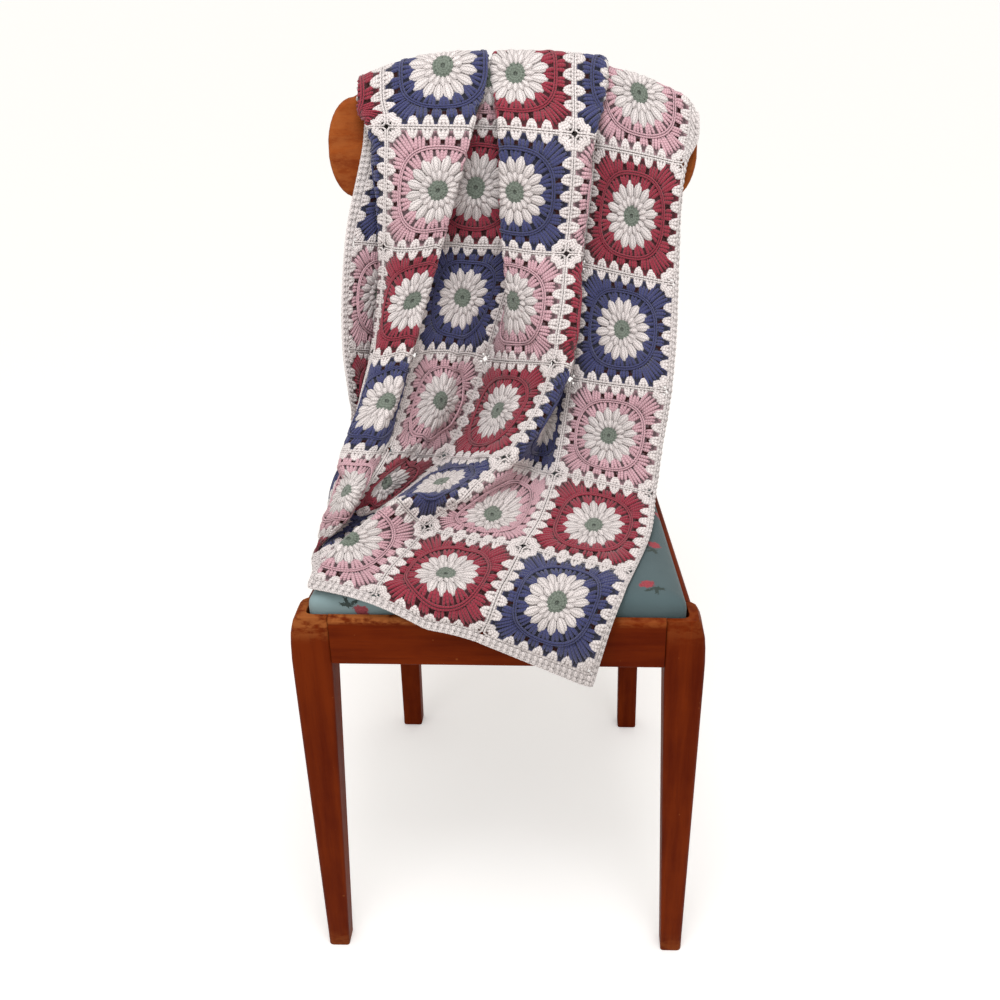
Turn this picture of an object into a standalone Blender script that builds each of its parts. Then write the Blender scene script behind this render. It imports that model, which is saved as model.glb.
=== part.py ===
"""A plain wooden dining chair with a drop-in seat pad and a granny square blanket draped over it.

The blanket is one sheet of six by seven crochet squares.  It falls behind the backrest board, passes
over the top of the board in soft pleats, slopes down on to the seat and hangs over its front edge.
Lengths in the named sizes and tables are millimetres: x from the middle of the chair, y back from
the face of its front legs and z up from the floor.  add_body turns them into metres and puts the
origin under the middle of the whole.
"""

import math

import bmesh
import bpy
import numpy as np

MM = 0.001
FOOTPRINT_MIDDLE = (-2.8, 234.5, 0.0)

# ---------------------------------------------------------------- chair sizes
FRAME_TOP = 458.0
RAIL_HEIGHT = 56.5
RAIL_THICKNESS = 21.0
SEAT_HALF_FRONT = 198.6
SEAT_HALF_REAR = 168.7
SEAT_DEPTH = 385.0
LEG_OUTER_TOP = 209.0
LEG_OUTER_FOOT = 206.5
LEG_INNER_TOP = 168.0
LEG_INNER_FOOT = 182.5
LEG_TOP_DEPTH = 38.0
LEG_FOOT_DEPTH = 25.0
LEG_EDGE_ROUND = 3.0
LEG_CORNER_ROUND = 5.0
LEG_BACK_CORNER_ROUND = 10.0
LEG_TAPER_DROP = 14.0
LEG_END_ROUND = 3.0
# depth below the frame's top, how far the leg's outer face is drawn in there
LEG_SHOULDER = ((52.0, 0.0), (34.0, 0.8), (22.0, 2.0), (13.0, 4.0), (6.0, 6.0), (0.0, 9.0))
POST_EDGE_ROUND = 3.5
POST_END_ROUND = 2.0
RAIL_EDGE_ROUND = 2.0
CROSS_RAIL_EDGE_ROUND = 2.5
FRONT_RAIL_SET_BACK = 0.6
FRAME_EDGE_ROUND = 5.0
JOINT_GAP = 0.3

# centre x, centre y, z, width, depth of the rear leg and its raked upright
BACK_POST_SECTIONS = (
    (160.5, 420.0, 0.0, 27.0, 25.0),
    (157.0, 410.0, 230.0, 28.0, 28.0),
    (155.0, 401.0, 400.0, 29.0, 31.0),
    (155.0, 400.5, 470.0, 29.0, 31.0),
    (158.5, 409.0, 600.0, 28.0, 27.0),
    (162.0, 420.0, 700.0, 27.0, 23.0),
    (165.0, 428.6, 778.2, 26.0, 17.0),
)

BOARD_HALF_WIDTH = 216.5
BOARD_END_X = 187.0
BOARD_THICKNESS = 18.0
BOARD_MID_HEIGHT = 835.0
BOARD_END_HALF_HEIGHT = 55.0
BOARD_CREST = 923.0
BOARD_CREST_DROP = 33.0
BOARD_BOTTOM_RISE = 4.0
BOARD_MID_Y = 447.0
BOARD_BOW = 16.0
BOARD_RAKE = 0.176
BOARD_EDGE_ROUND = 5.0
BOARD_COLUMNS = 28
BOARD_END_STEPS = 8
BOARD_END_TURN = math.radians(80.0)

LOWER_RAIL_Z = (524.0, 544.0)
LOWER_RAIL_THICKNESS = 14.0

PAD_INSET = 6.8
PAD_BOTTOM = 442.3
PAD_CROWN_TOP = 482.0
PAD_CORNER_ROUND = 9.0
PAD_BACK_Y = 381.0
PAD_SIDE_STEPS = 14
PAD_CUTTER_RISE = 40.0

# ---------------------------------------------------------------- drape
SQUARE = 134.0
BORDER = 17.0
SQUARES_ACROSS = 6
SQUARES_LONG = 7
CLOTH_WIDTH = SQUARES_ACROSS * SQUARE + 2 * BORDER
CLOTH_LENGTH = SQUARES_LONG * SQUARE + 2 * BORDER
CLOTH_THICKNESS = 2.4
CLOTH_CLEARANCE = 2.6
SEAT_EDGE_ROUND = 22.0

# The cloth's shape is given by sections across it.  u runs from its left edge to its right edge and
# v from its back hem to its front hem.  Each section names the same thirteen stations, in order:
# left edge, valley behind the flap, flap's left ridge, flap's right ridge, hidden turn under it,
# valley floor, hidden turn under the middle pleat, middle pleat's ridge, right pleat's ridge, hidden
# turn under it, inner seam, outer seam and right edge.

# over the board: u, x, height of the pleat off the board, v where it crosses the top
CREST_STATIONS = (
    (0, -172, 4.4, 190), (60, -116, 7.0, 194), (121, -176, 12.2, 199), (268, -31, 12.2, 199),
    (310, -74, 7.0, 194), (352, -30, 4.4, 190), (405, 27, 7.0, 188), (458, -20, 12.2, 188),
    (592, 107, 12.2, 190), (651, 48, 7.0, 191), (690, 90, 4.6, 192), (821, 203, 8.0, 192),
    (838, 217, 11.0, 192),
)
CREST_STEPS = (-60.0, -40.0, -28.0, -19.0, -9.0, 0.0, 9.0, 19.0, 28.0)
BACK_HEM_V = 0.0
BACK_DRAW_IN = 0.001
CREST_MEAN_HEIGHT = 9.0
FORWARD_FALL = 0.25
FRONT_FALL_V = 226.0
# v where the cloth starts and ends turning from the chair's back towards its seat
SEAT_TURN_V = (620.0, 750.0)
SIDE_PANELS = 5
SEAT_FACING = np.array((0.0, -0.45, 0.85))
LEFT = np.array((-1.0, 0.0, 0.0))
# v, then how closely the cloth between stations follows the board's arch
ARCH_SHARE = ((225.0, 1.0), (310.0, 0.0))
SIDE_SLOPE = 0.6
# how far the cloth stands off the chair's back below the crest: v, extra room
BACK_ROOM = ((240.0, 0.0), (300.0, 1.5))
BOARD_LOWER_MARGIN = 8.0
SEAT_BLOCK_BOTTOM = 400.0

# v of the section, then u, x, y, z of each station
SECTIONS = {
    285: ((0, -174, 428, 850), (66, -106, 424, 861), (124, -162, 408, 861), (252, -48, 402, 861),
          (294, -91, 412, 861), (352, -34, 436, 858), (420, 24, 428, 858), (464, -11, 406, 861),
          (578, 93, 400, 853), (633, 47, 418, 845), (687, 94, 428, 839), (821, 195, 390, 825),
          (838, 200, 392, 821)),
    419: ((0, -194, 365, 739), (90, -138, 402, 724), (142, -152, 370, 733), (233, -85, 362, 735),
          (278, -105, 405, 727), (352, -55, 420, 722), (430, 18, 405, 724), (470, -7, 383, 728),
          (573, 80, 370, 725), (630, 42, 407, 709), (687, 82, 400, 705), (821, 187, 345, 698),
          (838, 194, 352, 693)),
    486: ((0, -194, 323, 686), (94, -152, 390, 672), (145, -153, 341, 679), (233, -102, 328, 681),
          (277, -111, 370, 670), (352, -62, 398, 664), (425, -8, 395, 662), (479, -1, 359, 673),
          (572, 76, 326, 670), (634, 50, 378, 648), (687, 78, 366, 643), (821, 183, 302, 649),
          (838, 191, 310, 644)),
    553: ((0, -190, 285, 636), (95, -164, 365, 605), (148, -159, 305, 626), (226, -118, 285, 631),
          (278, -118, 325, 617), (352, -73, 365, 604), (419, -36, 395, 587), (486, 1, 340, 603),
          (576, 67, 285, 618), (636, 52, 340, 592), (687, 71, 325, 587), (821, 177, 255, 600),
          (838, 184, 263, 595)),
    620: ((0, -184, 268, 588), (95, -166, 330, 556), (157, -168, 260, 583), (222, -132, 236, 591),
          (282, -127, 290, 569), (352, -85, 320, 560), (418, -57, 368, 531), (487, -14, 305, 554),
          (567, 40, 255, 569), (635, 45, 305, 542), (687, 63, 291, 536), (821, 168, 220, 553),
          (838, 174, 226, 549)),
    687: ((0, -187, 285, 535), (95, -168, 262, 512), (163, -179, 212, 537), (228, -152, 182, 553),
          (285, -133, 215, 542), (352, -111, 265, 517), (419, -83, 310, 491), (486, -41, 255, 513),
          (560, 2, 205, 535), (630, 27, 262, 497), (687, 54, 240, 502), (821, 159, 180, 508),
          (838, 165, 185, 505)),
    754: ((0, -199, 275, 476), (95, -190, 215, 462), (178, -183, 150, 517), (232, -153, 107, 543),
          (285, -147, 140, 533), (352, -133, 178, 520), (419, -107, 240, 490), (486, -72, 195, 512),
          (548, -43, 140, 526), (620, -13, 148, 496), (687, 40, 152, 493), (821, 151, 124, 490),
          (838, 158, 124, 488)),
    821: ((0, -198, 262, 410), (95, -194, 205, 398), (190, -198, 128, 480), (235, -176, 104, 500),
          (285, -171, 134, 502), (352, -152, 140, 504), (419, -133, 158, 498), (455, -122, 132, 512),
          (492, -106, 103, 535), (620, -30, 104, 490), (687, 23, 91, 489), (821, 131, 48, 485),
          (838, 137, 47, 484)),
    852: ((0, -199, 263, 378), (95, -195, 210, 366), (190, -206, 148, 446), (235, -200, 117, 472),
          (285, -190, 148, 488), (352, -169, 135, 500), (415, -144, 144, 494), (450, -132, 116, 506),
          (489, -129, 84, 523), (620, -41, 72, 488), (687, 15, 57, 487), (821, 122, 20, 484),
          (838, 128, 18, 482)),
    888: ((0, -200, 265, 345), (95, -196, 215, 332), (190, -208, 168, 408), (235, -205, 126, 428),
          (285, -200, 152, 458), (352, -187, 128, 491), (410, -158, 128, 489), (445, -145, 98, 492),
          (484, -152, 62, 514), (620, -52, 40, 486), (687, 6, 20, 484), (821, 110, -10, 474),
          (838, 117, -10, 472)),
    972: ((0, -202, 268, 262), (95, -198, 225, 250), (190, -210, 172, 330), (235, -207, 130, 352),
          (285, -201, 150, 390), (352, -198, 120, 434), (410, -197, 84, 478), (445, -190, 52, 486),
          (482, -185, 14, 483), (620, -68, -10, 452), (687, -18, -10, 437), (821, 88, -10, 387),
          (838, 96, -10, 384)),
}

# v of the section, then how far the cloth between neighbouring stations may bow, outward positive
BOWS = {
    215: (0, 0, 0, 0, 0, 0, 0, 0, 0, 0, 0, 0),
    285: (-4, 3, 14, -3, -6, -6, 3, 8, -3, -4, 2, 2),
    486: (-4, 3, 22, -3, -6, -6, 3, 12, -3, -4, 2, 2),
    687: (8, 3, 14, -3, -4, -4, 3, 10, -3, -4, 2, 1),
    754: (16, 5, 8, 0, 0, -4, 3, 5, -8, -4, -4, 0),
    821: (20, 6, 5, 0, 0, 0, 0, 2, -20, 3, -3, 0),
    888: (22, 7, 3, 3, 3, 0, 0, 2, -12, 2, -5, 0),
    972: (22, 8, 3, 4, 4, 0, 0, 0, 13, 2, 0, 0),
}
TURN_RADIUS = ((0.0, 2.7), (225.0, 2.7), (330.0, 5.0), (754.0, 5.0), (860.0, 3.0), (CLOTH_LENGTH, 3.0))
# at each inner station, whether a hairpin turn leads to the layer outside or to the one inside
TURN_SIDES = (1, 1, -1, -1, 0, 1, 1, -1, -1, 0, 0)
CREST_MIDDLE_V = 192.0
CREST_REACH_V = 28.0
SMOOTHING = 1.6
FINE_STEP_U = 2.0
FINE_STEP_V = 4.0
NORMAL_STEP = 1.5


def board_top(x):
    """Height of the board's top edge at x."""
    inside = BOARD_CREST - BOARD_CREST_DROP * (np.minimum(np.abs(x), BOARD_END_X) / BOARD_END_X) ** 3
    reach = np.clip((np.abs(x) - BOARD_END_X) / (BOARD_HALF_WIDTH - BOARD_END_X), 0.0, 0.85)
    return inside - BOARD_END_HALF_HEIGHT * (1.0 - np.sqrt(1.0 - reach ** 2))


def board_middle_y(x, z):
    """Depth of the middle of the board's thickness: bowed in plan and raked back."""
    return BOARD_MID_Y - BOARD_BOW * (x / BOARD_HALF_WIDTH) ** 2 + BOARD_RAKE * (z - BOARD_MID_HEIGHT)


def board_arch(x):
    """How the board's top edge runs in depth and height along x, which the cloth on it follows."""
    return np.stack([0 * x, board_middle_y(x, board_top(x)), board_top(x)], -1)


def crest_sections():
    """Sections round the top of the board: quarter circles over a half-thickness, then straight down."""
    table = np.array(CREST_STATIONS, float)
    u, x, height, crest_v = table.T
    half = BOARD_THICKNESS / 2
    radius = half + height
    top = board_top(x)
    middle = board_middle_y(x, top)
    mean_radius = (radius + half + CREST_MEAN_HEIGHT) / 2
    rows = []
    steps = (BACK_HEM_V - crest_v.mean(),) + CREST_STEPS
    for step in steps:
        reach = step + 0.0 * u
        angle = np.clip(reach / mean_radius, -math.pi / 2, math.pi / 2)
        fallen = np.maximum(np.abs(reach) - mean_radius * math.pi / 2, 0.0)
        forward = np.where(reach > 0, FORWARD_FALL * fallen, 0.0)
        y = middle - radius * np.sin(angle) - forward
        z = top - half + radius * np.cos(angle) - np.sqrt(fallen ** 2 - forward ** 2)
        drawn = x * np.where(reach < 0, 1.0 - BACK_DRAW_IN * fallen, 1.0)
        rows.append((np.maximum(crest_v + step, BACK_HEM_V), np.stack([u, drawn, y, z], 1)))
    return rows


def station_rows():
    """All sections as an array of v for each station and an array of u, x, y, z."""
    rows = crest_sections()
    for v in sorted(SECTIONS):
        rows.append((np.full(len(CREST_STATIONS), float(v)), np.array(SECTIONS[v], float)))
    return np.array([row[0] for row in rows]), np.array([row[1] for row in rows])


def smooth_between(knots, values, v):
    """Cubic curve through values at the knots, one station at a time, read at v."""
    out = np.empty((len(v),) + values.shape[1:])
    for s in range(values.shape[1]):
        k, a = knots[:, s], values[:, s]
        gap = (k[1:] - k[:-1])[:, None]
        rate = (a[1:] - a[:-1]) / gap
        share = gap[:-1] / (gap[:-1] + gap[1:])
        slope = np.concatenate([rate[:1], (1 - share) * rate[:-1] + share * rate[1:], rate[-1:]])
        i = np.clip(np.searchsorted(k, v, side="right") - 1, 0, len(k) - 2)
        t = (np.clip(v, k[0], k[-1]) - k[i])[:, None] / gap[i]
        out[:, s] = (
            (2 * t ** 3 - 3 * t ** 2 + 1) * a[i]
            + (t ** 3 - 2 * t ** 2 + t) * gap[i] * slope[i]
            + (3 * t ** 2 - 2 * t ** 3) * a[i + 1]
            + (t ** 3 - t ** 2) * gap[i] * slope[i + 1]
        )
    return out


def unit(a):
    return a / np.maximum(np.linalg.norm(a, axis=-1, keepdims=True), 1e-9)


def outward_of(v):
    """Which way each panel's outer side faces: round the board's top, forward, then up on the seat.

    The first panels hang beside the seat there and face left.
    """
    turn = np.clip((v - CREST_MIDDLE_V) / CREST_REACH_V, -1.0, 1.0) * math.pi / 2
    on_seat = np.interp(v, SEAT_TURN_V, (0.0, 1.0))[:, None]
    up = np.stack([0 * v, -np.sin(turn), np.cos(turn)], 1) * (1 - on_seat) + SEAT_FACING * on_seat
    facing = np.repeat(unit(up)[:, None], len(TURN_SIDES) + 1, 1)
    on_seat = on_seat[:, None]
    facing[:, :SIDE_PANELS] = unit(facing[:, :SIDE_PANELS] * (1 - on_seat) + LEFT * on_seat)
    return facing


def section_knots(v):
    """Where each section turns: its corners are split into two knots a turn radius apart.

    Returns the cloth width reached at each knot, the knots, and the bow of the piece between two
    knots.  A piece is a straight chord plus its bow times the sine of its fraction, and the bow is
    as deep as the cloth's spare length over the chord asks for.
    """
    knots_v, values = station_rows()
    at = smooth_between(knots_v, values, v)
    u, point = at[..., 0], at[..., 1:]
    radius = np.interp(v, *np.array(TURN_RADIUS).T)[:, None]
    leg = unit(point[:, 1:] - point[:, :-1])
    before, after = leg[:, :-1], leg[:, 1:]
    turn = np.arccos(np.clip((before * after).sum(-1), -1.0, 1.0))
    half = np.where(turn > 0.05, radius * (turn / 2) / np.maximum(np.sin(turn / 2), 0.05), radius)
    outward = outward_of(v)
    facing = outward[:, :-1]
    hairpin = np.clip(-1.0 - 2.0 * (before * after).sum(-1, keepdims=True), 0.0, 1.0)
    later = smooth_between(knots_v, values, v + FINE_STEP_U)
    earlier = smooth_between(knots_v, values, v - FINE_STEP_U)
    down = unit((later - earlier)[:, 1:-1, 1:])
    face = unit(np.cross(down, before - after))
    face *= np.sign((face * facing).sum(-1, keepdims=True)) * np.array(TURN_SIDES)[:, None]
    across = before + after
    across = unit(across - (across * down).sum(-1, keepdims=True) * down + 2.0 * hairpin * face)
    across *= radius[..., None]
    rows, stations = u.shape
    knots = np.empty((rows, 2 * stations - 2, 3))
    reached = np.empty((rows, 2 * stations - 2))
    knots[:, 0], knots[:, -1] = point[:, 0], point[:, -1]
    reached[:, 0], reached[:, -1] = u[:, 0], u[:, -1]
    knots[:, 1:-1:2], knots[:, 2:-1:2] = point[:, 1:-1] - across, point[:, 1:-1] + across
    reached[:, 1:-1:2], reached[:, 2:-1:2] = u[:, 1:-1] - half, u[:, 1:-1] + half

    chord = knots[:, 1:] - knots[:, :-1]
    length = np.linalg.norm(chord, axis=-1)
    spare = np.maximum(reached[:, 1:] - reached[:, :-1] - length, 0.0)
    depth = 2 / math.pi * np.sqrt(length * spare)
    limit_v = sorted(BOWS)
    limit_rows = np.array([BOWS[k] for k in limit_v], float)
    limits = np.stack([np.interp(v, limit_v, limit_rows[:, s]) for s in range(stations - 1)], 1)
    panel = unit(chord[:, 0::2])
    lift = unit(outward - (outward * panel).sum(-1, keepdims=True) * panel)
    bow = np.empty_like(chord)
    bow[:, 0::2] = lift * (np.sign(limits) * np.minimum(depth[:, 0::2], np.abs(limits)))[..., None]
    bow[:, 1::2] = unit(before - after) * depth[:, 1::2, None]
    return reached, knots, bow


def seat_distance(p):
    """Signed distance to a round-edged block that holds the seat frame and the pad."""
    x, y, z = np.abs(p[..., 0]), p[..., 1], p[..., 2]
    taper = (SEAT_HALF_FRONT - SEAT_HALF_REAR) / SEAT_DEPTH
    side = (x - SEAT_HALF_FRONT + taper * y) / math.hypot(1.0, taper)
    walls = (side, -y, y - SEAT_DEPTH, z - PAD_CROWN_TOP, SEAT_BLOCK_BOTTOM - z)
    walls = np.stack(walls, -1) + SEAT_EDGE_ROUND
    outside = np.linalg.norm(np.maximum(walls, 0.0), axis=-1)
    return outside + np.minimum(walls.max(-1), 0.0) - SEAT_EDGE_ROUND


def clear_of_seat(p):
    """Moves points that are too near the seat straight away from it."""
    room = CLOTH_CLEARANCE + CLOTH_THICKNESS / 2
    for _ in range(3):
        near = seat_distance(p)
        slope = np.stack([seat_distance(p + 0.5 * axis) - near for axis in np.eye(3)], -1)
        p = p + unit(slope) * np.maximum(room - near, 0.0)[..., None]
    return p


def post_section(z):
    """Centre x, centre y, width and depth of the back post at height z."""
    table = np.array(BACK_POST_SECTIONS)
    return [np.interp(z, table[:, 2], table[:, k]) for k in (0, 1, 3, 4)]


def clear_of_back(p, v):
    """Keeps the cloth that hangs in front of the chair's back in front of its board and posts."""
    x, z = np.abs(p[..., 0]), p[..., 2]
    extra = np.interp(v, *np.array(BACK_ROOM).T)[:, None]
    room = CLOTH_CLEARANCE + CLOTH_THICKNESS / 2 + extra
    board = board_middle_y(x, z) - BOARD_THICKNESS / 2
    below = np.maximum(BOARD_MID_HEIGHT - BOARD_END_HALF_HEIGHT - BOARD_LOWER_MARGIN - z, 0.0)
    centre, depth_y, width, depth = post_section(z)
    beside = np.maximum(np.abs(x - centre) - width / 2 - room, 0.0)
    above = np.maximum(z - BACK_POST_SECTIONS[-1][2], 0.0)
    post = depth_y - depth / 2 + SIDE_SLOPE * beside + above
    limit = np.minimum(board + SIDE_SLOPE * below, post) - room
    held = (v > FRONT_FALL_V)[:, None]
    y = np.where(held, np.minimum(p[..., 1], limit), p[..., 1])
    return np.stack([p[..., 0], y, p[..., 2]], -1)


def fine_grid():
    """The cloth's middle surface on an even grid of u and v."""
    count_u = round(CLOTH_WIDTH / FINE_STEP_U)
    count_v = round(CLOTH_LENGTH / FINE_STEP_V)
    step = CLOTH_WIDTH / count_u
    reach = math.ceil(3 * SMOOTHING / step)
    u = np.arange(-reach, count_u + reach + 1) * step
    v = np.linspace(0.0, CLOTH_LENGTH, count_v + 1)
    reached, knots, bow = section_knots(v)
    arched = np.interp(v, *np.array(ARCH_SHARE).T)
    rows = []
    for k, q, b, share in zip(reached, knots, bow, arched):
        i = np.clip(np.searchsorted(k, u, side="right") - 1, 0, len(k) - 2)
        t = ((u - k[i]) / (k[i + 1] - k[i]))[:, None]
        row = q[i] * (1 - t) + q[i + 1] * t + b[i] * np.sin(math.pi * np.clip(t, 0.0, 1.0))
        straight = board_arch(q[i, 0]) * (1 - t) + board_arch(q[i + 1, 0]) * t
        row += share * (board_arch(row[:, 0]) - straight)
        rows.append(row)
    rough = np.array(rows)
    weight = np.exp(-0.5 * (np.arange(-reach, reach + 1) * step / SMOOTHING) ** 2)
    weight /= weight.sum()
    smooth = sum(w * rough[:, i:i + count_u + 1] for i, w in enumerate(weight))
    return clear_of_seat(clear_of_back(smooth, v))


# ---------------------------------------------------------------- building
# v where a stretch of rows starts, then the number of rows in it
SHEET_ROW_STRETCHES = (
    (0.0, 4), (150.0, 1), (164.0, 8), (236.0, 1), (256.0, 6), (400.0, 8), (740.0, 3), (800.0, 10),
)
PANEL_COLUMNS = (2, 2, 4, 2, 2, 2, 2, 3, 3, 2, 3, 1)
BEND_COLUMNS = 2
CORNER_GAP_OFFSET = 50.0
CORNER_GAP_HALF = 2.7
GAP_MARGIN = 0.16
PAD_RINGS = (
    # height, inset of the ring
    (442.3, 2.5), (443.5, 1.2), (456.0, 0.0), (466.0, 0.3), (472.5, 2.4), (477.0, 6.5),
    (479.6, 14.0), (481.0, 30.0), (481.8, 60.0), (482.0, 100.0),
)

WOOD = ((0.255, 0.052, 0.012), 0.38)
WOOD_DARK = ((0.16, 0.028, 0.008), 0.45)
SEAT_FABRIC = ((0.31, 0.42, 0.43), 0.85)
YARN = ((0.74, 0.70, 0.67), 0.95)


def clear_objects():
    for old in list(bpy.data.objects):
        bpy.data.objects.remove(old, do_unlink=True)


def material(name, look):
    colour, roughness = look
    made = bpy.data.materials.new(name)
    made.use_nodes = True
    shader = made.node_tree.nodes["Principled BSDF"]
    shader.inputs["Base Color"].default_value = (*colour, 1.0)
    shader.inputs["Roughness"].default_value = roughness
    shader.inputs["Metallic"].default_value = 0.0
    made.diffuse_color = (*colour, 1.0)
    return made


def add_body(name, points, faces, look, smooth=True):
    """A closed body from points in millimetres, its faces turned outward."""
    mesh = bpy.data.meshes.new(name)
    placed = (np.array(points, float) - FOOTPRINT_MIDDLE) * MM
    mesh.from_pydata(placed.tolist(), [], faces)
    work = bmesh.new()
    work.from_mesh(mesh)
    bmesh.ops.recalc_face_normals(work, faces=work.faces)
    work.to_mesh(mesh)
    work.free()
    mesh.materials.append(material(name, look))
    mesh.polygons.foreach_set("use_smooth", [smooth] * len(mesh.polygons))
    body = bpy.data.objects.new(name, mesh)
    bpy.context.scene.collection.objects.link(body)
    return body


def ring_bands(rings):
    """Points and side faces of rings that have the same number of points each."""
    count = len(rings[0])
    points = [p for ring in rings for p in ring]
    faces = []
    for k in range(len(rings) - 1):
        for i in range(count):
            j = (i + 1) % count
            faces.append((k * count + i, k * count + j, (k + 1) * count + j, (k + 1) * count + i))
    return points, faces


def loft(name, rings, look):
    """A body between two flat end rings."""
    points, faces = ring_bands(rings)
    count = len(rings[0])
    faces.append(tuple(reversed(range(count))))
    faces.append(tuple(range(len(points) - count, len(points))))
    return add_body(name, points, faces, look, smooth=False)


def bevel(body, width, segments=2, angle=50.0):
    step = body.modifiers.new("edges", "BEVEL")
    step.width = width * MM
    step.segments = segments
    step.limit_method = "ANGLE"
    step.angle_limit = math.radians(angle)


def rounded_rectangle(a0, a1, b0, b1, radii, steps=3):
    """Outline of a rectangle in a plane, its corners rounded: (a0,b0), (a1,b0), (a1,b1), (a0,b1)."""
    corners = ((a0, b0, 180.0), (a1, b0, 270.0), (a1, b1, 0.0), (a0, b1, 90.0))
    outline = []
    for (a, b, start), radius in zip(corners, radii):
        centre_a = a + radius if a == a0 else a - radius
        centre_b = b + radius if b == b0 else b - radius
        for step in range(steps + 1):
            turn = math.radians(start + 90.0 * step / steps)
            outline.append((centre_a + radius * math.cos(turn), centre_b + radius * math.sin(turn)))
    return outline


def frame_half_width(y):
    """Half-width of the seat frame's outer face at depth y."""
    return SEAT_HALF_FRONT - (SEAT_HALF_FRONT - SEAT_HALF_REAR) * y / SEAT_DEPTH


def cut_pad_seat(body, cutter):
    step = body.modifiers.new("rebate", "BOOLEAN")
    step.operation = "DIFFERENCE"
    step.solver = "EXACT"
    step.object = cutter


def pad_outline(inset, steps_side=PAD_SIDE_STEPS):
    """Outline of the pad in plan, drawn in by an inset, with rounded corners."""
    front, back = PAD_INSET + inset, PAD_BACK_Y - inset
    half_front = frame_half_width(front) - PAD_INSET - inset
    half_back = frame_half_width(back) - PAD_INSET - inset
    corners = ((-half_front, front), (half_front, front), (half_back, back), (-half_back, back))
    radius = max(PAD_CORNER_ROUND - 0.3 * inset, 2.0)
    outline = []
    for i, corner in enumerate(corners):
        corner = np.array(corner)
        before = unit(np.array(corners[i - 1]) - corner)
        after = unit(np.array(corners[(i + 1) % 4]) - corner)
        start, end = corner + before * radius, corner + after * radius
        for step in range(5):
            t = step / 4
            outline.append(tuple(start * (1 - t) ** 2 + 2 * corner * t * (1 - t) + end * t ** 2))
        following = np.array(corners[(i + 1) % 4])
        far = following - after * radius
        for step in range(1, steps_side):
            outline.append(tuple(end + (far - end) * step / steps_side))
    return outline


def build_pad_cutter():
    outline = pad_outline(-JOINT_GAP, steps_side=1)
    heights = (PAD_BOTTOM - JOINT_GAP, FRAME_TOP + PAD_CUTTER_RISE)
    rings = [[(x, y, z) for x, y in outline] for z in heights]
    cutter = loft("pad_cutter", rings, SEAT_FABRIC)
    cutter.hide_render = True
    cutter.display_type = "WIRE"
    return cutter


def build_front_leg(name, side, cutter):
    """A square leg, tapered on its inner faces below the rail, with a rounded outer shoulder."""
    sections = [
        (0.0, LEG_OUTER_FOOT, LEG_INNER_FOOT, LEG_FOOT_DEPTH),
        (FRAME_TOP - RAIL_HEIGHT - LEG_TAPER_DROP, LEG_OUTER_TOP, LEG_INNER_TOP, LEG_TOP_DEPTH),
    ]
    for below, drawn_in in LEG_SHOULDER:
        sections.append((FRAME_TOP - below, LEG_OUTER_TOP - drawn_in, LEG_INNER_TOP, LEG_TOP_DEPTH))
    rings = []
    for z, outer, inner, depth in sections:
        small = LEG_EDGE_ROUND
        plan = rounded_rectangle(-outer, -inner, 0.0, depth,
                                 (LEG_CORNER_ROUND, small, small, LEG_BACK_CORNER_ROUND))
        rings.append([(-side * x, y, z) for x, y in plan])
    leg = loft(name, rings, WOOD)
    cut_pad_seat(leg, cutter)
    bevel(leg, LEG_END_ROUND)
    return leg


def build_back_post(name, side):
    rings = []
    for x, y, z, width, depth in BACK_POST_SECTIONS:
        plan = rounded_rectangle(x - width / 2, x + width / 2, y - depth / 2, y + depth / 2,
                                 (POST_EDGE_ROUND,) * 4)
        rings.append([(side * a, b, z) for a, b in plan])
    post = loft(name, rings, WOOD)
    bevel(post, POST_END_ROUND)
    return post


def rail_profile(inner, outer):
    """Upright section of a rail: its top outer edge is rounded most."""
    small = RAIL_EDGE_ROUND
    return rounded_rectangle(outer, inner, FRAME_TOP - RAIL_HEIGHT, FRAME_TOP,
                             (small, small, small, FRAME_EDGE_ROUND))


def build_front_rail(cutter):
    reach = LEG_INNER_TOP - JOINT_GAP
    profile = rail_profile(FRONT_RAIL_SET_BACK + RAIL_THICKNESS, FRONT_RAIL_SET_BACK)
    rings = [[(x, y, z) for y, z in profile] for x in (-reach, reach)]
    rail = loft("front_rail", rings, WOOD)
    cut_pad_seat(rail, cutter)
    return rail


def build_side_rail(name, side, cutter):
    front = LEG_TOP_DEPTH + JOINT_GAP
    _, post_y, _, post_depth = post_section(FRAME_TOP)
    back = post_y - post_depth / 2 - JOINT_GAP
    rings = []
    for y in (front, back):
        outer = frame_half_width(y)
        profile = rail_profile(RAIL_THICKNESS, 0.0)
        rings.append([(side * (outer - a), y, z) for a, z in profile])
    rail = loft(name, rings, WOOD)
    cut_pad_seat(rail, cutter)
    return rail


def build_cross_rail(name, z_low, z_high, thickness, look):
    """A plain rail between the two back posts."""
    reach = min(post_section(z)[0] - post_section(z)[2] / 2 for z in (z_low, z_high)) - JOINT_GAP
    y = post_section((z_low + z_high) / 2)[1]
    profile = rounded_rectangle(y - thickness / 2, y + thickness / 2, z_low, z_high,
                                (CROSS_RAIL_EDGE_ROUND,) * 4)
    rings = [[(x, a, b) for a, b in profile] for x in (-reach, reach)]
    return loft(name, rings, look)


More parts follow.
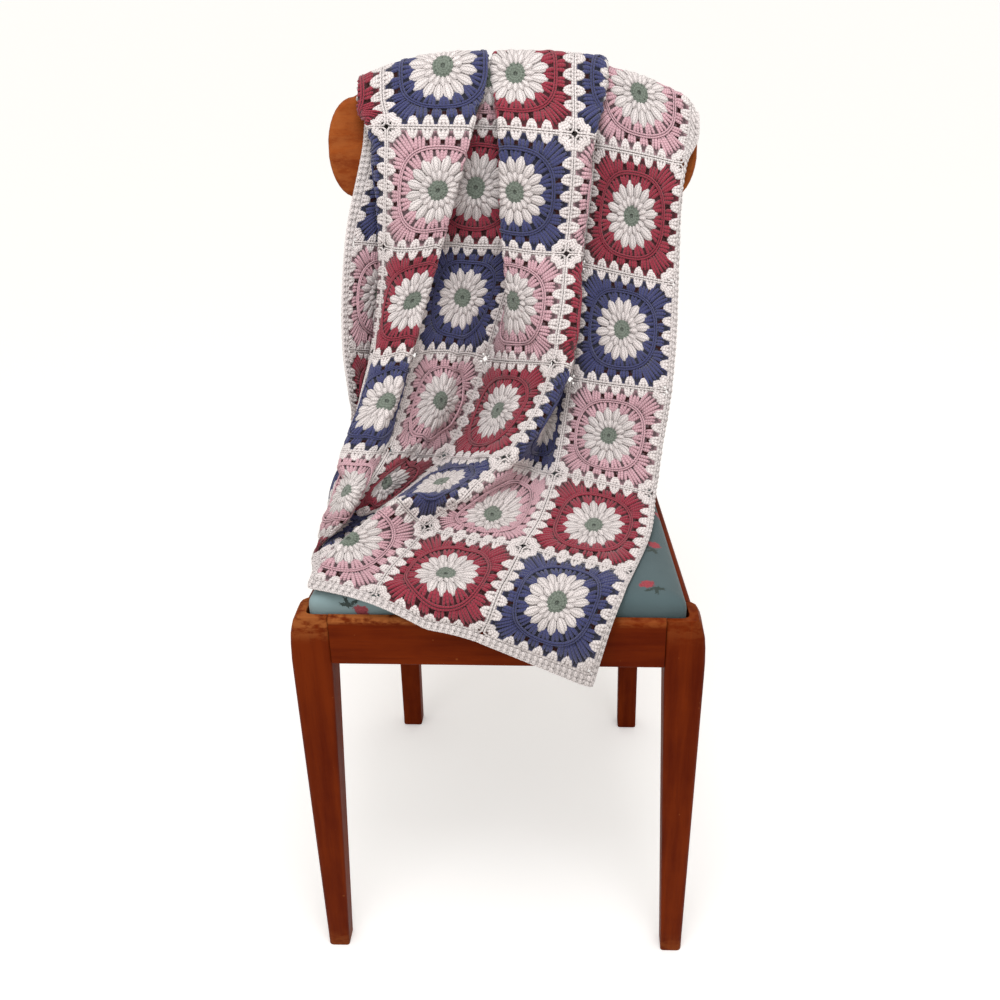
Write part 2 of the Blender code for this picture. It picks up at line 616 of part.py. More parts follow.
def board_outline():
    """Matching top and bottom outline points of the board, from its left end to its right end."""
    straight = np.linspace(-BOARD_END_X, BOARD_END_X, BOARD_COLUMNS + 1)
    bottom = (BOARD_MID_HEIGHT - BOARD_END_HALF_HEIGHT
              - BOARD_BOTTOM_RISE * (1 - (straight / BOARD_END_X) ** 2))
    middle = [(x, board_top(x), low) for x, low in zip(straight, bottom)]
    ends = []
    for step in range(1, BOARD_END_STEPS + 1):
        turn = BOARD_END_TURN * step / BOARD_END_STEPS
        x = BOARD_END_X + (BOARD_HALF_WIDTH - BOARD_END_X) * math.sin(turn) / math.sin(BOARD_END_TURN)
        half = BOARD_END_HALF_HEIGHT * math.cos(turn)
        ends.append((x, BOARD_MID_HEIGHT + half, BOARD_MID_HEIGHT - half))
    left = [(-x, top, low) for x, top, low in reversed(ends)]
    return left + middle + ends


def build_board():
    """A backrest board bowed in plan, with an arched top, half-round ends and rounded edges."""
    columns = board_outline()
    loop = [(x, low) for x, _, low in columns] + [(x, top) for x, top, _ in reversed(columns)]
    loop = np.array(loop)
    along = unit(np.roll(loop, -1, 0) - np.roll(loop, 1, 0))
    inward = np.stack([-along[:, 1], along[:, 0]], 1)
    rings = []
    for turn in (0.0, 45.0, 90.0, 90.0, 45.0, 0.0):
        inset = BOARD_EDGE_ROUND * (1 - math.sin(math.radians(turn)))
        offset = BOARD_THICKNESS / 2 - BOARD_EDGE_ROUND * (1 - math.cos(math.radians(turn)))
        front = len(rings) < 3
        drawn = loop + inward * inset
        rings.append([
            (x, board_middle_y(x, z) + (-offset if front else offset), z) for x, z in drawn
        ])
    points, faces = ring_bands(rings)
    count = len(loop)
    for start in (0, len(points) - count):
        for i in range(len(columns) - 1):
            j = count - 1 - i
            faces.append((start + i, start + i + 1, start + j - 1, start + j))
    return add_body("backrest_board", points, faces, WOOD)


def build_pad():
    """The drop-in seat pad: a crowned cushion that sits in the frame's rebate."""
    rings = [[(x, y, z) for x, y in pad_outline(inset)] for z, inset in PAD_RINGS]
    points, faces = ring_bands(rings)
    count = len(rings[0])
    faces.append(tuple(range(count)))
    centre = np.mean(rings[-1], axis=0)
    points.append(tuple(centre))
    last = len(points) - 1
    start = last - count
    faces.extend((start + i, start + (i + 1) % count, last) for i in range(count))
    return add_body("seat_pad", points, faces, SEAT_FABRIC)


def read_grid(grid, u, v):
    """Point of the cloth's middle surface at u, v, between the points of its even grid."""
    rows, columns = grid.shape[0] - 1, grid.shape[1] - 1
    a = np.clip(u / CLOTH_WIDTH * columns, 0, columns - 1e-6)
    b = np.clip(v / CLOTH_LENGTH * rows, 0, rows - 1e-6)
    i, j = a.astype(int), b.astype(int)
    s, t = (a - i)[..., None], (b - j)[..., None]
    near = grid[j, i] * (1 - s) + grid[j, i + 1] * s
    return near * (1 - t) + (grid[j + 1, i] * (1 - s) + grid[j + 1, i + 1] * s) * t


def cloth_normal(grid, u, v):
    """Direction the cloth's outer side faces at u, v."""
    left, right = np.maximum(u - NORMAL_STEP, 0.0), np.minimum(u + NORMAL_STEP, CLOTH_WIDTH)
    up, down = np.maximum(v - NORMAL_STEP, 0.0), np.minimum(v + NORMAL_STEP, CLOTH_LENGTH)
    across = read_grid(grid, right, v) - read_grid(grid, left, v)
    along = read_grid(grid, u, down) - read_grid(grid, u, up)
    return unit(np.cross(across, along))


def sheet_rows():
    """v of each row of the sheet: closer together over the board's top and the seat's front edge."""
    starts = [start for start, _ in SHEET_ROW_STRETCHES] + [CLOTH_LENGTH]
    rows = [np.linspace(starts[k], starts[k + 1], count, endpoint=False)
            for k, (_, count) in enumerate(SHEET_ROW_STRETCHES)]
    return np.concatenate(rows + [[CLOTH_LENGTH]])


def sheet_columns(v):
    """u of each column in each row: the columns follow the folds."""
    reached, _, _ = section_knots(v)
    columns = [reached[:, :1]]
    for k in range(reached.shape[1] - 1):
        pieces = PANEL_COLUMNS[k // 2] if k % 2 == 0 else BEND_COLUMNS
        for step in range(1, pieces + 1):
            share = step / pieces
            columns.append(reached[:, k:k + 1] * (1 - share) + reached[:, k + 1:k + 2] * share)
    return np.concatenate(columns, 1)


def gap_cells(u, v):
    """The cell of the sheet and the place in it of each gap between the corner clusters."""
    cells = {}
    for column in range(SQUARES_ACROSS):
        for row in range(SQUARES_LONG):
            centre_u = BORDER + SQUARE * (column + 0.5)
            centre_v = BORDER + SQUARE * (row + 0.5)
            for side_u in (-1, 1):
                for side_v in (-1, 1):
                    gap_u = centre_u + side_u * CORNER_GAP_OFFSET
                    gap_v = centre_v + side_v * CORNER_GAP_OFFSET
                    j = int(np.searchsorted(v, gap_v) - 1)
                    t = (gap_v - v[j]) / (v[j + 1] - v[j])
                    line = u[j] * (1 - t) + u[j + 1] * t
                    i = int(np.clip(np.searchsorted(line, gap_u) - 1, 0, len(line) - 2))
                    wide, tall = line[i + 1] - line[i], v[j + 1] - v[j]
                    half_s, half_t = CORNER_GAP_HALF / wide, CORNER_GAP_HALF / tall
                    if half_s > 0.5 - GAP_MARGIN or half_t > 0.5 - GAP_MARGIN or (j, i) in cells:
                        continue
                    s = np.clip((gap_u - line[i]) / wide, GAP_MARGIN + half_s, 1 - GAP_MARGIN - half_s)
                    t = np.clip(t, GAP_MARGIN + half_t, 1 - GAP_MARGIN - half_t)
                    cells[(j, i)] = (s - half_s, s + half_s, t - half_t, t + half_t)
    return cells


def build_blanket():
    """The draped sheet: both faces of the cloth, its rim, and the gaps cut through it."""
    grid = fine_grid()
    v = sheet_rows()
    u = sheet_columns(v)
    rows, columns = u.shape
    v_all = np.repeat(v[:, None], columns, 1)
    middle = read_grid(grid, u, v_all)
    normal = cloth_normal(grid, u, v_all)
    half = CLOTH_THICKNESS / 2
    sides = (middle + normal * half, middle - normal * half)
    points = [tuple(p) for side in sides for p in side.reshape(-1, 3)]

    def at(side, j, i):
        return side * rows * columns + j * columns + i

    faces = []
    cells = gap_cells(u, v)
    for j in range(rows - 1):
        for i in range(columns - 1):
            corners = ((j, i), (j, i + 1), (j + 1, i + 1), (j + 1, i))
            gap = cells.get((j, i))
            if gap is None:
                faces.append(tuple(at(0, *c) for c in corners))
                faces.append(tuple(at(1, *c) for c in reversed(corners)))
                continue
            s0, s1, t0, t1 = gap
            inner = []
            for side in (0, 1):
                a, b, c, d = (np.array(points[at(side, *corner)]) for corner in corners)
                inner.append(len(points))
                for s, t in ((s0, t0), (s1, t0), (s1, t1), (s0, t1)):
                    near, far = a * (1 - s) + b * s, d * (1 - s) + c * s
                    points.append(tuple(near * (1 - t) + far * t))
            for k in range(4):
                m = (k + 1) % 4
                top = (at(0, *corners[k]), at(0, *corners[m]), inner[0] + m, inner[0] + k)
                low = (at(1, *corners[m]), at(1, *corners[k]), inner[1] + k, inner[1] + m)
                faces.extend((top, low, (inner[0] + k, inner[0] + m, inner[1] + m, inner[1] + k)))
    edge = [(0, i) for i in range(columns)] + [(j, columns - 1) for j in range(1, rows)]
    edge += [(rows - 1, i) for i in range(columns - 2, -1, -1)]
    edge += [(j, 0) for j in range(rows - 2, 0, -1)]
    for k, here in enumerate(edge):
        there = edge[(k + 1) % len(edge)]
        faces.append((at(0, *there), at(0, *here), at(1, *here), at(1, *there)))
    return add_body("blanket", points, faces, YARN)


def build():
    clear_objects()
    cutter = build_pad_cutter()
    for side, word in ((-1, "left"), (1, "right")):
        build_front_leg("front_leg_" + word, side, cutter)
        build_back_post("back_post_" + word, side)
        build_side_rail("side_rail_" + word, side, cutter)
    build_front_rail(cutter)
    build_cross_rail("back_seat_rail", FRAME_TOP - RAIL_HEIGHT, FRAME_TOP, RAIL_THICKNESS, WOOD)
    build_cross_rail("lower_back_rail", *LOWER_RAIL_Z, LOWER_RAIL_THICKNESS, WOOD_DARK)
    build_board()
    build_pad()
    build_blanket()


build()
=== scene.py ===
"""Looks of a granny square blanket draped over a plain wooden dining chair.

The blanket is worked stitch by stitch.  Every stitch is a short fat tube in flat coordinates: u across
the cloth from its left edge, v along it from its back hem and h above it, all in millimetres.  One
class lays those points on the draped surface, and the drape is given by the same sections as the
solid blanket's.
"""

import math

import bpy
import numpy as np
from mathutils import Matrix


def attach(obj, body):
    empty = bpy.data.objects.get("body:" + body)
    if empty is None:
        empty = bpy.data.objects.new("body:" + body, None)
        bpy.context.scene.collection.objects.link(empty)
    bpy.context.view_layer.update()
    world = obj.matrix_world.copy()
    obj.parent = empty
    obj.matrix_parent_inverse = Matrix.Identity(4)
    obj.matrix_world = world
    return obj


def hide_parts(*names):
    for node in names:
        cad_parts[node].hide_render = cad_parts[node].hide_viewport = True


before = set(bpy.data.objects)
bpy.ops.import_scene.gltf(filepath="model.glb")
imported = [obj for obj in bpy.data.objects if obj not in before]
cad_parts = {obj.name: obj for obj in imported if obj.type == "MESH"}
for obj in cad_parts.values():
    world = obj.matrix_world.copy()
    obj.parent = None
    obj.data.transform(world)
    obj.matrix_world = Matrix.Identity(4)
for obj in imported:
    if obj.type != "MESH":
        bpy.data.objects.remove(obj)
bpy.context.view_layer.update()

MM = 0.001
FOOTPRINT_MIDDLE = np.array((-2.8, 234.5, 0.0))
SEED = 11

# ---------------- chair sizes
FRAME_TOP = 458.0
SEAT_HALF_FRONT = 198.6
SEAT_HALF_REAR = 168.7
SEAT_DEPTH = 385.0
SEAT_TAPER = (SEAT_HALF_FRONT - SEAT_HALF_REAR) / SEAT_DEPTH

# centre x, centre y, z, width, depth of the rear leg and its raked upright
BACK_POST_SECTIONS = (
    (160.5, 420.0, 0.0, 27.0, 25.0),
    (157.0, 410.0, 230.0, 28.0, 28.0),
    (155.0, 401.0, 400.0, 29.0, 31.0),
    (155.0, 400.5, 470.0, 29.0, 31.0),
    (158.5, 409.0, 600.0, 28.0, 27.0),
    (162.0, 420.0, 700.0, 27.0, 23.0),
    (165.0, 428.6, 778.2, 26.0, 17.0),
)

BOARD_HALF_WIDTH = 216.5
BOARD_END_X = 187.0
BOARD_END_REACH = 0.85
BOARD_THICKNESS = 18.0
BOARD_MID_HEIGHT = 835.0
BOARD_END_HALF_HEIGHT = 55.0
BOARD_CREST = 923.0
BOARD_CREST_DROP = 33.0
BOARD_MID_Y = 447.0
BOARD_BOW = 16.0
BOARD_RAKE = 0.176

PAD_INSET = 6.8
PAD_CROWN_TOP = 482.0
PAD_CORNER_ROUND = 9.0
PAD_BACK_Y = 381.0

# ---------------- drape
SQUARE = 134.0
BORDER = 17.0
SQUARES_ACROSS = 6
SQUARES_LONG = 7
CLOTH_WIDTH = SQUARES_ACROSS * SQUARE + 2 * BORDER
CLOTH_LENGTH = SQUARES_LONG * SQUARE + 2 * BORDER
CLOTH_THICKNESS = 2.4
CLOTH_CLEARANCE = 2.6
CLOTH_ROOM = CLOTH_CLEARANCE + CLOTH_THICKNESS / 2
SEAT_EDGE_ROUND = 22.0
SEAT_BLOCK_BOTTOM = 400.0
SEAT_PUSHES = 3
SLOPE_STEP = 0.5

# The cloth's shape is given by sections across it.  u runs from its left edge to its right edge and
# v from its back hem to its front hem.  Each section names the same thirteen stations, in order:
# left edge, valley behind the flap, flap's left ridge, flap's right ridge, hidden turn under it,
# valley floor, hidden turn under the middle pleat, middle pleat's ridge, right pleat's ridge, hidden
# turn under it, inner seam, outer seam and right edge.

# over the board: u, x, height of the pleat off the board, v where it crosses the top
CREST_STATIONS = (
    (0, -172, 4.4, 190), (60, -116, 7.0, 194), (121, -176, 12.2, 199), (268, -31, 12.2, 199),
    (310, -74, 7.0, 194), (352, -30, 4.4, 190), (405, 27, 7.0, 188), (458, -20, 12.2, 188),
    (592, 107, 12.2, 190), (651, 48, 7.0, 191), (690, 90, 4.6, 192), (821, 203, 8.0, 192),
    (838, 217, 11.0, 192),
)
CREST_STEPS = (-60.0, -40.0, -28.0, -19.0, -9.0, 0.0, 9.0, 19.0, 28.0)
BACK_HEM_V = 0.0
BACK_DRAW_IN = 0.001
CREST_MEAN_HEIGHT = 9.0
FORWARD_FALL = 0.25
FRONT_FALL_V = 226.0
# v where the cloth starts and ends turning from the chair's back towards its seat
SEAT_TURN_V = (620.0, 750.0)
SIDE_PANELS = 5
SEAT_FACING = np.array((0.0, -0.45, 0.85))
LEFT = np.array((-1.0, 0.0, 0.0))
# v, then how closely the cloth between stations follows the board's arch
ARCH_SHARE = ((225.0, 1.0), (310.0, 0.0))
SIDE_SLOPE = 0.6
# how far the cloth stands off the chair's back below the crest: v, extra room
BACK_ROOM = ((240.0, 0.0), (300.0, 1.5))
BOARD_LOWER_MARGIN = 8.0

# v of the section, then u, x, y, z of each station
SECTIONS = {
    285: ((0, -174, 428, 850), (66, -106, 424, 861), (124, -162, 408, 861), (252, -48, 402, 861),
          (294, -91, 412, 861), (352, -34, 436, 858), (420, 24, 428, 858), (464, -11, 406, 861),
          (578, 93, 400, 853), (633, 47, 418, 845), (687, 94, 428, 839), (821, 195, 390, 825),
          (838, 200, 392, 821)),
    419: ((0, -194, 365, 739), (90, -138, 402, 724), (142, -152, 370, 733), (233, -85, 362, 735),
          (278, -105, 405, 727), (352, -55, 420, 722), (430, 18, 405, 724), (470, -7, 383, 728),
          (573, 80, 370, 725), (630, 42, 407, 709), (687, 82, 400, 705), (821, 187, 345, 698),
          (838, 194, 352, 693)),
    486: ((0, -194, 323, 686), (94, -152, 390, 672), (145, -153, 341, 679), (233, -102, 328, 681),
          (277, -111, 370, 670), (352, -62, 398, 664), (425, -8, 395, 662), (479, -1, 359, 673),
          (572, 76, 326, 670), (634, 50, 378, 648), (687, 78, 366, 643), (821, 183, 302, 649),
          (838, 191, 310, 644)),
    553: ((0, -190, 285, 636), (95, -164, 365, 605), (148, -159, 305, 626), (226, -118, 285, 631),
          (278, -118, 325, 617), (352, -73, 365, 604), (419, -36, 395, 587), (486, 1, 340, 603),
          (576, 67, 285, 618), (636, 52, 340, 592), (687, 71, 325, 587), (821, 177, 255, 600),
          (838, 184, 263, 595)),
    620: ((0, -184, 268, 588), (95, -166, 330, 556), (157, -168, 260, 583), (222, -132, 236, 591),
          (282, -127, 290, 569), (352, -85, 320, 560), (418, -57, 368, 531), (487, -14, 305, 554),
          (567, 40, 255, 569), (635, 45, 305, 542), (687, 63, 291, 536), (821, 168, 220, 553),
          (838, 174, 226, 549)),
    687: ((0, -187, 285, 535), (95, -168, 262, 512), (163, -179, 212, 537), (228, -152, 182, 553),
          (285, -133, 215, 542), (352, -111, 265, 517), (419, -83, 310, 491), (486, -41, 255, 513),
          (560, 2, 205, 535), (630, 27, 262, 497), (687, 54, 240, 502), (821, 159, 180, 508),
          (838, 165, 185, 505)),
    754: ((0, -199, 275, 476), (95, -190, 215, 462), (178, -183, 150, 517), (232, -153, 107, 543),
          (285, -147, 140, 533), (352, -133, 178, 520), (419, -107, 240, 490), (486, -72, 195, 512),
          (548, -43, 140, 526), (620, -13, 148, 496), (687, 40, 152, 493), (821, 151, 124, 490),
          (838, 158, 124, 488)),
    821: ((0, -198, 262, 410), (95, -194, 205, 398), (190, -198, 128, 480), (235, -176, 104, 500),
          (285, -171, 134, 502), (352, -152, 140, 504), (419, -133, 158, 498), (455, -122, 132, 512),
          (492, -106, 103, 535), (620, -30, 104, 490), (687, 23, 91, 489), (821, 131, 48, 485),
          (838, 137, 47, 484)),
    852: ((0, -199, 263, 378), (95, -195, 210, 366), (190, -206, 148, 446), (235, -200, 117, 472),
          (285, -190, 148, 488), (352, -169, 135, 500), (415, -144, 144, 494), (450, -132, 116, 506),
          (489, -129, 84, 523), (620, -41, 72, 488), (687, 15, 57, 487), (821, 122, 20, 484),
          (838, 128, 18, 482)),
    888: ((0, -200, 265, 345), (95, -196, 215, 332), (190, -208, 168, 408), (235, -205, 126, 428),
          (285, -200, 152, 458), (352, -187, 128, 491), (410, -158, 128, 489), (445, -145, 98, 492),
          (484, -152, 62, 514), (620, -52, 40, 486), (687, 6, 20, 484), (821, 110, -10, 474),
          (838, 117, -10, 472)),
    972: ((0, -202, 268, 262), (95, -198, 225, 250), (190, -210, 172, 330), (235, -207, 130, 352),
          (285, -201, 150, 390), (352, -198, 120, 434), (410, -197, 84, 478), (445, -190, 52, 486),
          (482, -185, 14, 483), (620, -68, -10, 452), (687, -18, -10, 437), (821, 88, -10, 387),
          (838, 96, -10, 384)),
}

# v of the section, then how far the cloth between neighbouring stations may bow, outward positive
BOWS = {
    215: (0, 0, 0, 0, 0, 0, 0, 0, 0, 0, 0, 0),
    285: (-4, 3, 14, -3, -6, -6, 3, 8, -3, -4, 2, 2),
    486: (-4, 3, 22, -3, -6, -6, 3, 12, -3, -4, 2, 2),
    687: (8, 3, 14, -3, -4, -4, 3, 10, -3, -4, 2, 1),
    754: (16, 5, 8, 0, 0, -4, 3, 5, -8, -4, -4, 0),
    821: (20, 6, 5, 0, 0, 0, 0, 2, -20, 3, -3, 0),
    888: (22, 7, 3, 3, 3, 0, 0, 2, -12, 2, -5, 0),
    972: (22, 8, 3, 4, 4, 0, 0, 0, 13, 2, 0, 0),
}
TURN_RADIUS = ((0.0, 2.7), (225.0, 2.7), (330.0, 5.0), (754.0, 5.0), (860.0, 3.0), (CLOTH_LENGTH, 3.0))
# at each inner station, whether a hairpin turn leads to the layer outside or to the one inside
TURN_SIDES = (1, 1, -1, -1, 0, 1, 1, -1, -1, 0, 0)
LEAST_TURN = 0.05
HAIRPIN_PULL = 2.0
CREST_MIDDLE_V = 192.0
CREST_REACH_V = 28.0
SMOOTHING = 1.6
FINE_STEP_U = 2.0
FINE_STEP_V = 4.0


def unit(a):
    """Vectors of length 1 in the same directions."""
    return a / np.maximum(np.linalg.norm(a, axis=-1, keepdims=True), 1e-9)


def from_table(table, v):
    """A table of v and value, read at v along straight lines."""
    return np.interp(v, *np.array(table).T)


def board_top(x):
    """Height of the board's top edge at x."""
    inside = BOARD_CREST - BOARD_CREST_DROP * (np.minimum(np.abs(x), BOARD_END_X) / BOARD_END_X) ** 3
    reach = (np.abs(x) - BOARD_END_X) / (BOARD_HALF_WIDTH - BOARD_END_X)
    return inside - BOARD_END_HALF_HEIGHT * (1.0 - np.sqrt(1.0 - np.clip(reach, 0.0, BOARD_END_REACH) ** 2))


def board_middle_y(x, z):
    """Depth of the middle of the board's thickness: bowed in plan and raked back."""
    return BOARD_MID_Y - BOARD_BOW * (x / BOARD_HALF_WIDTH) ** 2 + BOARD_RAKE * (z - BOARD_MID_HEIGHT)


def board_arch(x):
    """How the board's top edge runs in depth and height along x, which the cloth on it follows."""
    return np.stack([0 * x, board_middle_y(x, board_top(x)), board_top(x)], -1)


def crest_sections():
    """Sections round the top of the board: quarter circles over a half-thickness, then straight down."""
    u, x, height, crest_v = np.array(CREST_STATIONS, float).T
    half = BOARD_THICKNESS / 2
    radius = half + height
    top = board_top(x)
    middle = board_middle_y(x, top)
    mean_radius = (radius + half + CREST_MEAN_HEIGHT) / 2
    rows = []
    for step in (BACK_HEM_V - crest_v.mean(),) + CREST_STEPS:
        angle = np.clip(step / mean_radius, -math.pi / 2, math.pi / 2)
        fallen = np.maximum(abs(step) - mean_radius * math.pi / 2, 0.0)
        forward = FORWARD_FALL * fallen if step > 0 else 0.0 * fallen
        y = middle - radius * np.sin(angle) - forward
        z = top - half + radius * np.cos(angle) - np.sqrt(fallen ** 2 - forward ** 2)
        drawn = x * (1.0 - BACK_DRAW_IN * fallen) if step < 0 else x
        rows.append((np.maximum(crest_v + step, BACK_HEM_V), np.stack([u, drawn, y, z], 1)))
    return rows


def station_rows():
    """All sections as an array of v for each station and an array of u, x, y, z."""
    rows = crest_sections()
    rows += [(np.full(len(row), float(v)), np.array(row, float)) for v, row in SECTIONS.items()]
    return [np.array(part) for part in zip(*rows)]


def smooth_between(knots, values, v):
    """Cubic curve through values at the knots, one station at a time, read at v."""
    out = np.empty((len(v),) + values.shape[1:])
    for s in range(values.shape[1]):
        k, a = knots[:, s], values[:, s]
        gap = (k[1:] - k[:-1])[:, None]
        rate = (a[1:] - a[:-1]) / gap
        share = gap[:-1] / (gap[:-1] + gap[1:])
        slope = np.concatenate([rate[:1], (1 - share) * rate[:-1] + share * rate[1:], rate[-1:]])
        i = np.clip(np.searchsorted(k, v, side="right") - 1, 0, len(k) - 2)
        t = (np.clip(v, k[0], k[-1]) - k[i])[:, None] / gap[i]
        out[:, s] = (
            (2 * t ** 3 - 3 * t ** 2 + 1) * a[i]
            + (t ** 3 - 2 * t ** 2 + t) * gap[i] * slope[i]
            + (3 * t ** 2 - 2 * t ** 3) * a[i + 1]
            + (t ** 3 - t ** 2) * gap[i] * slope[i + 1]
        )
    return out


def outward_of(v):
    """Which way each panel's outer side faces: round the board's top, forward, then up on the seat.

    The first panels hang beside the seat there and face left.
    """
    turn = np.clip((v - CREST_MIDDLE_V) / CREST_REACH_V, -1.0, 1.0) * math.pi / 2
    on_seat = np.interp(v, SEAT_TURN_V, (0.0, 1.0))[:, None]
    up = np.stack([0 * v, -np.sin(turn), np.cos(turn)], 1) * (1 - on_seat) + SEAT_FACING * on_seat
    facing = np.repeat(unit(up)[:, None], len(TURN_SIDES) + 1, 1)
    on_seat = on_seat[:, None]
    facing[:, :SIDE_PANELS] = unit(facing[:, :SIDE_PANELS] * (1 - on_seat) + LEFT * on_seat)
    return facing


def split(stations, aside):
    """Station values in order, every inner one replaced by two that lie aside of it."""
    inner = stations[:, 1:-1]
    pairs = np.stack([inner - aside, inner + aside], 2).reshape(len(inner), -1, *inner.shape[2:])
    return np.concatenate([stations[:, :1], pairs, stations[:, -1:]], 1)


def section_knots(v):
    """Where each section turns: its corners are split into two knots a turn radius apart.

    Returns the cloth width reached at each knot, the knots, and the bow of the piece between two
    knots.  A piece is a straight chord plus its bow times the sine of its fraction, and the bow is
    as deep as the cloth's spare length over the chord asks for.
    """
    rows = station_rows()
    at, later, earlier = (smooth_between(*rows, v + step) for step in (0.0, FINE_STEP_U, -FINE_STEP_U))
    u, point = at[..., 0], at[..., 1:]
    radius = from_table(TURN_RADIUS, v)[:, None]
    leg = unit(point[:, 1:] - point[:, :-1])
    before, after = leg[:, :-1], leg[:, 1:]
    bent = (before * after).sum(-1, keepdims=True)
    turn = np.arccos(np.clip(bent[..., 0], -1.0, 1.0))
    sharpened = radius * (turn / 2) / np.maximum(np.sin(turn / 2), LEAST_TURN)
    outward = outward_of(v)
    down = unit((later - earlier)[:, 1:-1, 1:])
    face = unit(np.cross(down, before - after))
    face *= np.sign((face * outward[:, :-1]).sum(-1, keepdims=True)) * np.array(TURN_SIDES)[:, None]
    # 0 for turns up to 120 degrees, 1 where the cloth doubles back
    hairpin = np.clip(-1.0 - 2.0 * bent, 0.0, 1.0)
    across = before + after
    across = unit(across - (across * down).sum(-1, keepdims=True) * down + HAIRPIN_PULL * hairpin * face)
    knots = split(point, across * radius[..., None])
    reached = split(u, np.where(turn > LEAST_TURN, sharpened, radius))

    chord = knots[:, 1:] - knots[:, :-1]
    length = np.linalg.norm(chord, axis=-1)
    spare = np.maximum(reached[:, 1:] - reached[:, :-1] - length, 0.0)
    depth = 2 / math.pi * np.sqrt(length * spare)
    limits = np.stack([np.interp(v, list(BOWS), limit) for limit in zip(*BOWS.values())], 1)
    panel = unit(chord[:, 0::2])
    lift = unit(outward - (outward * panel).sum(-1, keepdims=True) * panel)
    bow = np.empty_like(chord)
    bow[:, 0::2] = lift * (np.sign(limits) * np.minimum(depth[:, 0::2], np.abs(limits)))[..., None]
    bow[:, 1::2] = unit(before - after) * depth[:, 1::2, None]
    return reached, knots, bow


def seat_distance(p):
    """Signed distance to a round-edged block that holds the seat frame and the pad."""
    x, y, z = np.abs(p[..., 0]), p[..., 1], p[..., 2]
    side = (x - SEAT_HALF_FRONT + SEAT_TAPER * y) / math.hypot(1.0, SEAT_TAPER)
    walls = (side, -y, y - SEAT_DEPTH, z - PAD_CROWN_TOP, SEAT_BLOCK_BOTTOM - z)
    walls = np.stack(walls, -1) + SEAT_EDGE_ROUND
    outside = np.linalg.norm(np.maximum(walls, 0.0), axis=-1)
    return outside + np.minimum(walls.max(-1), 0.0) - SEAT_EDGE_ROUND


def clear_of_seat(p):
    """Moves points that are too near the seat straight away from it."""
    for _ in range(SEAT_PUSHES):
        near = seat_distance(p)
        slope = np.stack([seat_distance(p + SLOPE_STEP * axis) - near for axis in np.eye(3)], -1)
        p = p + unit(slope) * np.maximum(CLOTH_ROOM - near, 0.0)[..., None]
    return p


def clear_of_back(p, v):
    """Keeps the cloth that hangs in front of the chair's back in front of its board and posts."""
    x, z = np.abs(p[..., 0]), p[..., 2]
    room = CLOTH_ROOM + from_table(BACK_ROOM, v)[:, None]
    board = board_middle_y(x, z) - BOARD_THICKNESS / 2
    below = np.maximum(BOARD_MID_HEIGHT - BOARD_END_HALF_HEIGHT - BOARD_LOWER_MARGIN - z, 0.0)
    posts = np.array(BACK_POST_SECTIONS)
    centre, depth_y, width, depth = (np.interp(z, posts[:, 2], posts[:, k]) for k in (0, 1, 3, 4))
    beside = np.maximum(np.abs(x - centre) - width / 2 - room, 0.0)
    above = np.maximum(z - posts[-1, 2], 0.0)
    post = depth_y - depth / 2 + SIDE_SLOPE * beside + above
    limit = np.minimum(board + SIDE_SLOPE * below, post) - room
    y = np.where((v > FRONT_FALL_V)[:, None], np.minimum(p[..., 1], limit), p[..., 1])
    return np.stack([p[..., 0], y, z], -1)


def fine_grid():
    """The cloth's middle surface on an even grid of u and v."""
    count_u = round(CLOTH_WIDTH / FINE_STEP_U)
    count_v = round(CLOTH_LENGTH / FINE_STEP_V)
    step = CLOTH_WIDTH / count_u
    reach = math.ceil(3 * SMOOTHING / step)
    u = np.arange(-reach, count_u + reach + 1) * step
    v = np.linspace(0.0, CLOTH_LENGTH, count_v + 1)
    reached, knots, bow = section_knots(v)
    arched = from_table(ARCH_SHARE, v)
    rows = []
    for k, q, b, share in zip(reached, knots, bow, arched):
        i = np.clip(np.searchsorted(k, u, side="right") - 1, 0, len(k) - 2)
        t = ((u - k[i]) / (k[i + 1] - k[i]))[:, None]
        row = q[i] * (1 - t) + q[i + 1] * t + b[i] * np.sin(math.pi * np.clip(t, 0.0, 1.0))
        straight = board_arch(q[i, 0]) * (1 - t) + board_arch(q[i + 1, 0]) * t
        row += share * (board_arch(row[:, 0]) - straight)
        rows.append(row)
    rough = np.array(rows)
    weight = np.exp(-0.5 * (np.arange(-reach, reach + 1) * step / SMOOTHING) ** 2)
    weight /= weight.sum()
    smooth = sum(w * rough[:, i:i + count_u + 1] for i, w in enumerate(weight))
    return clear_of_seat(clear_of_back(smooth, v))


# ---------------- one granny square, in shares of its side
COLOURS = ("pale_pink", "rose", "denim_blue")
PETALS = 16
DISC_RADIUS = 0.086
EYE_RADIUS = 0.020
DISC_SHIFT = 0.25
RIDGE_RADIUS = 0.345
RIDGE_SQUARENESS = 2.6
RIDGE_GAP = 0.0095
RIDGE_SEGMENTS = 48
COLOUR_TOP = 0.427
CREAM_BASE = 0.403
CREAM_TOP = 0.488
SIDE_STEP = 0.133

# a group of three posts: half its width at the foot and at the head
FIRST_HALVES = (0.019, 0.043)
SECOND_HALVES = (0.027, 0.034)
SECOND_CORNER_HALVES = (0.023, 0.039)
CREAM_HALVES = (0.014, 0.041)
CREAM_CORNER_HALVES = (0.016, 0.036)
MIDDLE_FOOT = 0.06

FIRST_FOOT = 0.236
UNDER_RIDGE = 0.006
OVER_RIDGE = 0.008
FOOT_SHARE = 0.94
CORNER_TURN = math.radians(39.5)
CORNER_ALONG = 0.350
CORNER_RISE = 0.009
CREAM_CORNER_FOOT = 0.385
CREAM_CORNER_HEAD = 0.420
CREAM_CORNER_RISE = 0.012
SIDES = ((0, -1), (1, 0), (0, 1), (-1, 0))

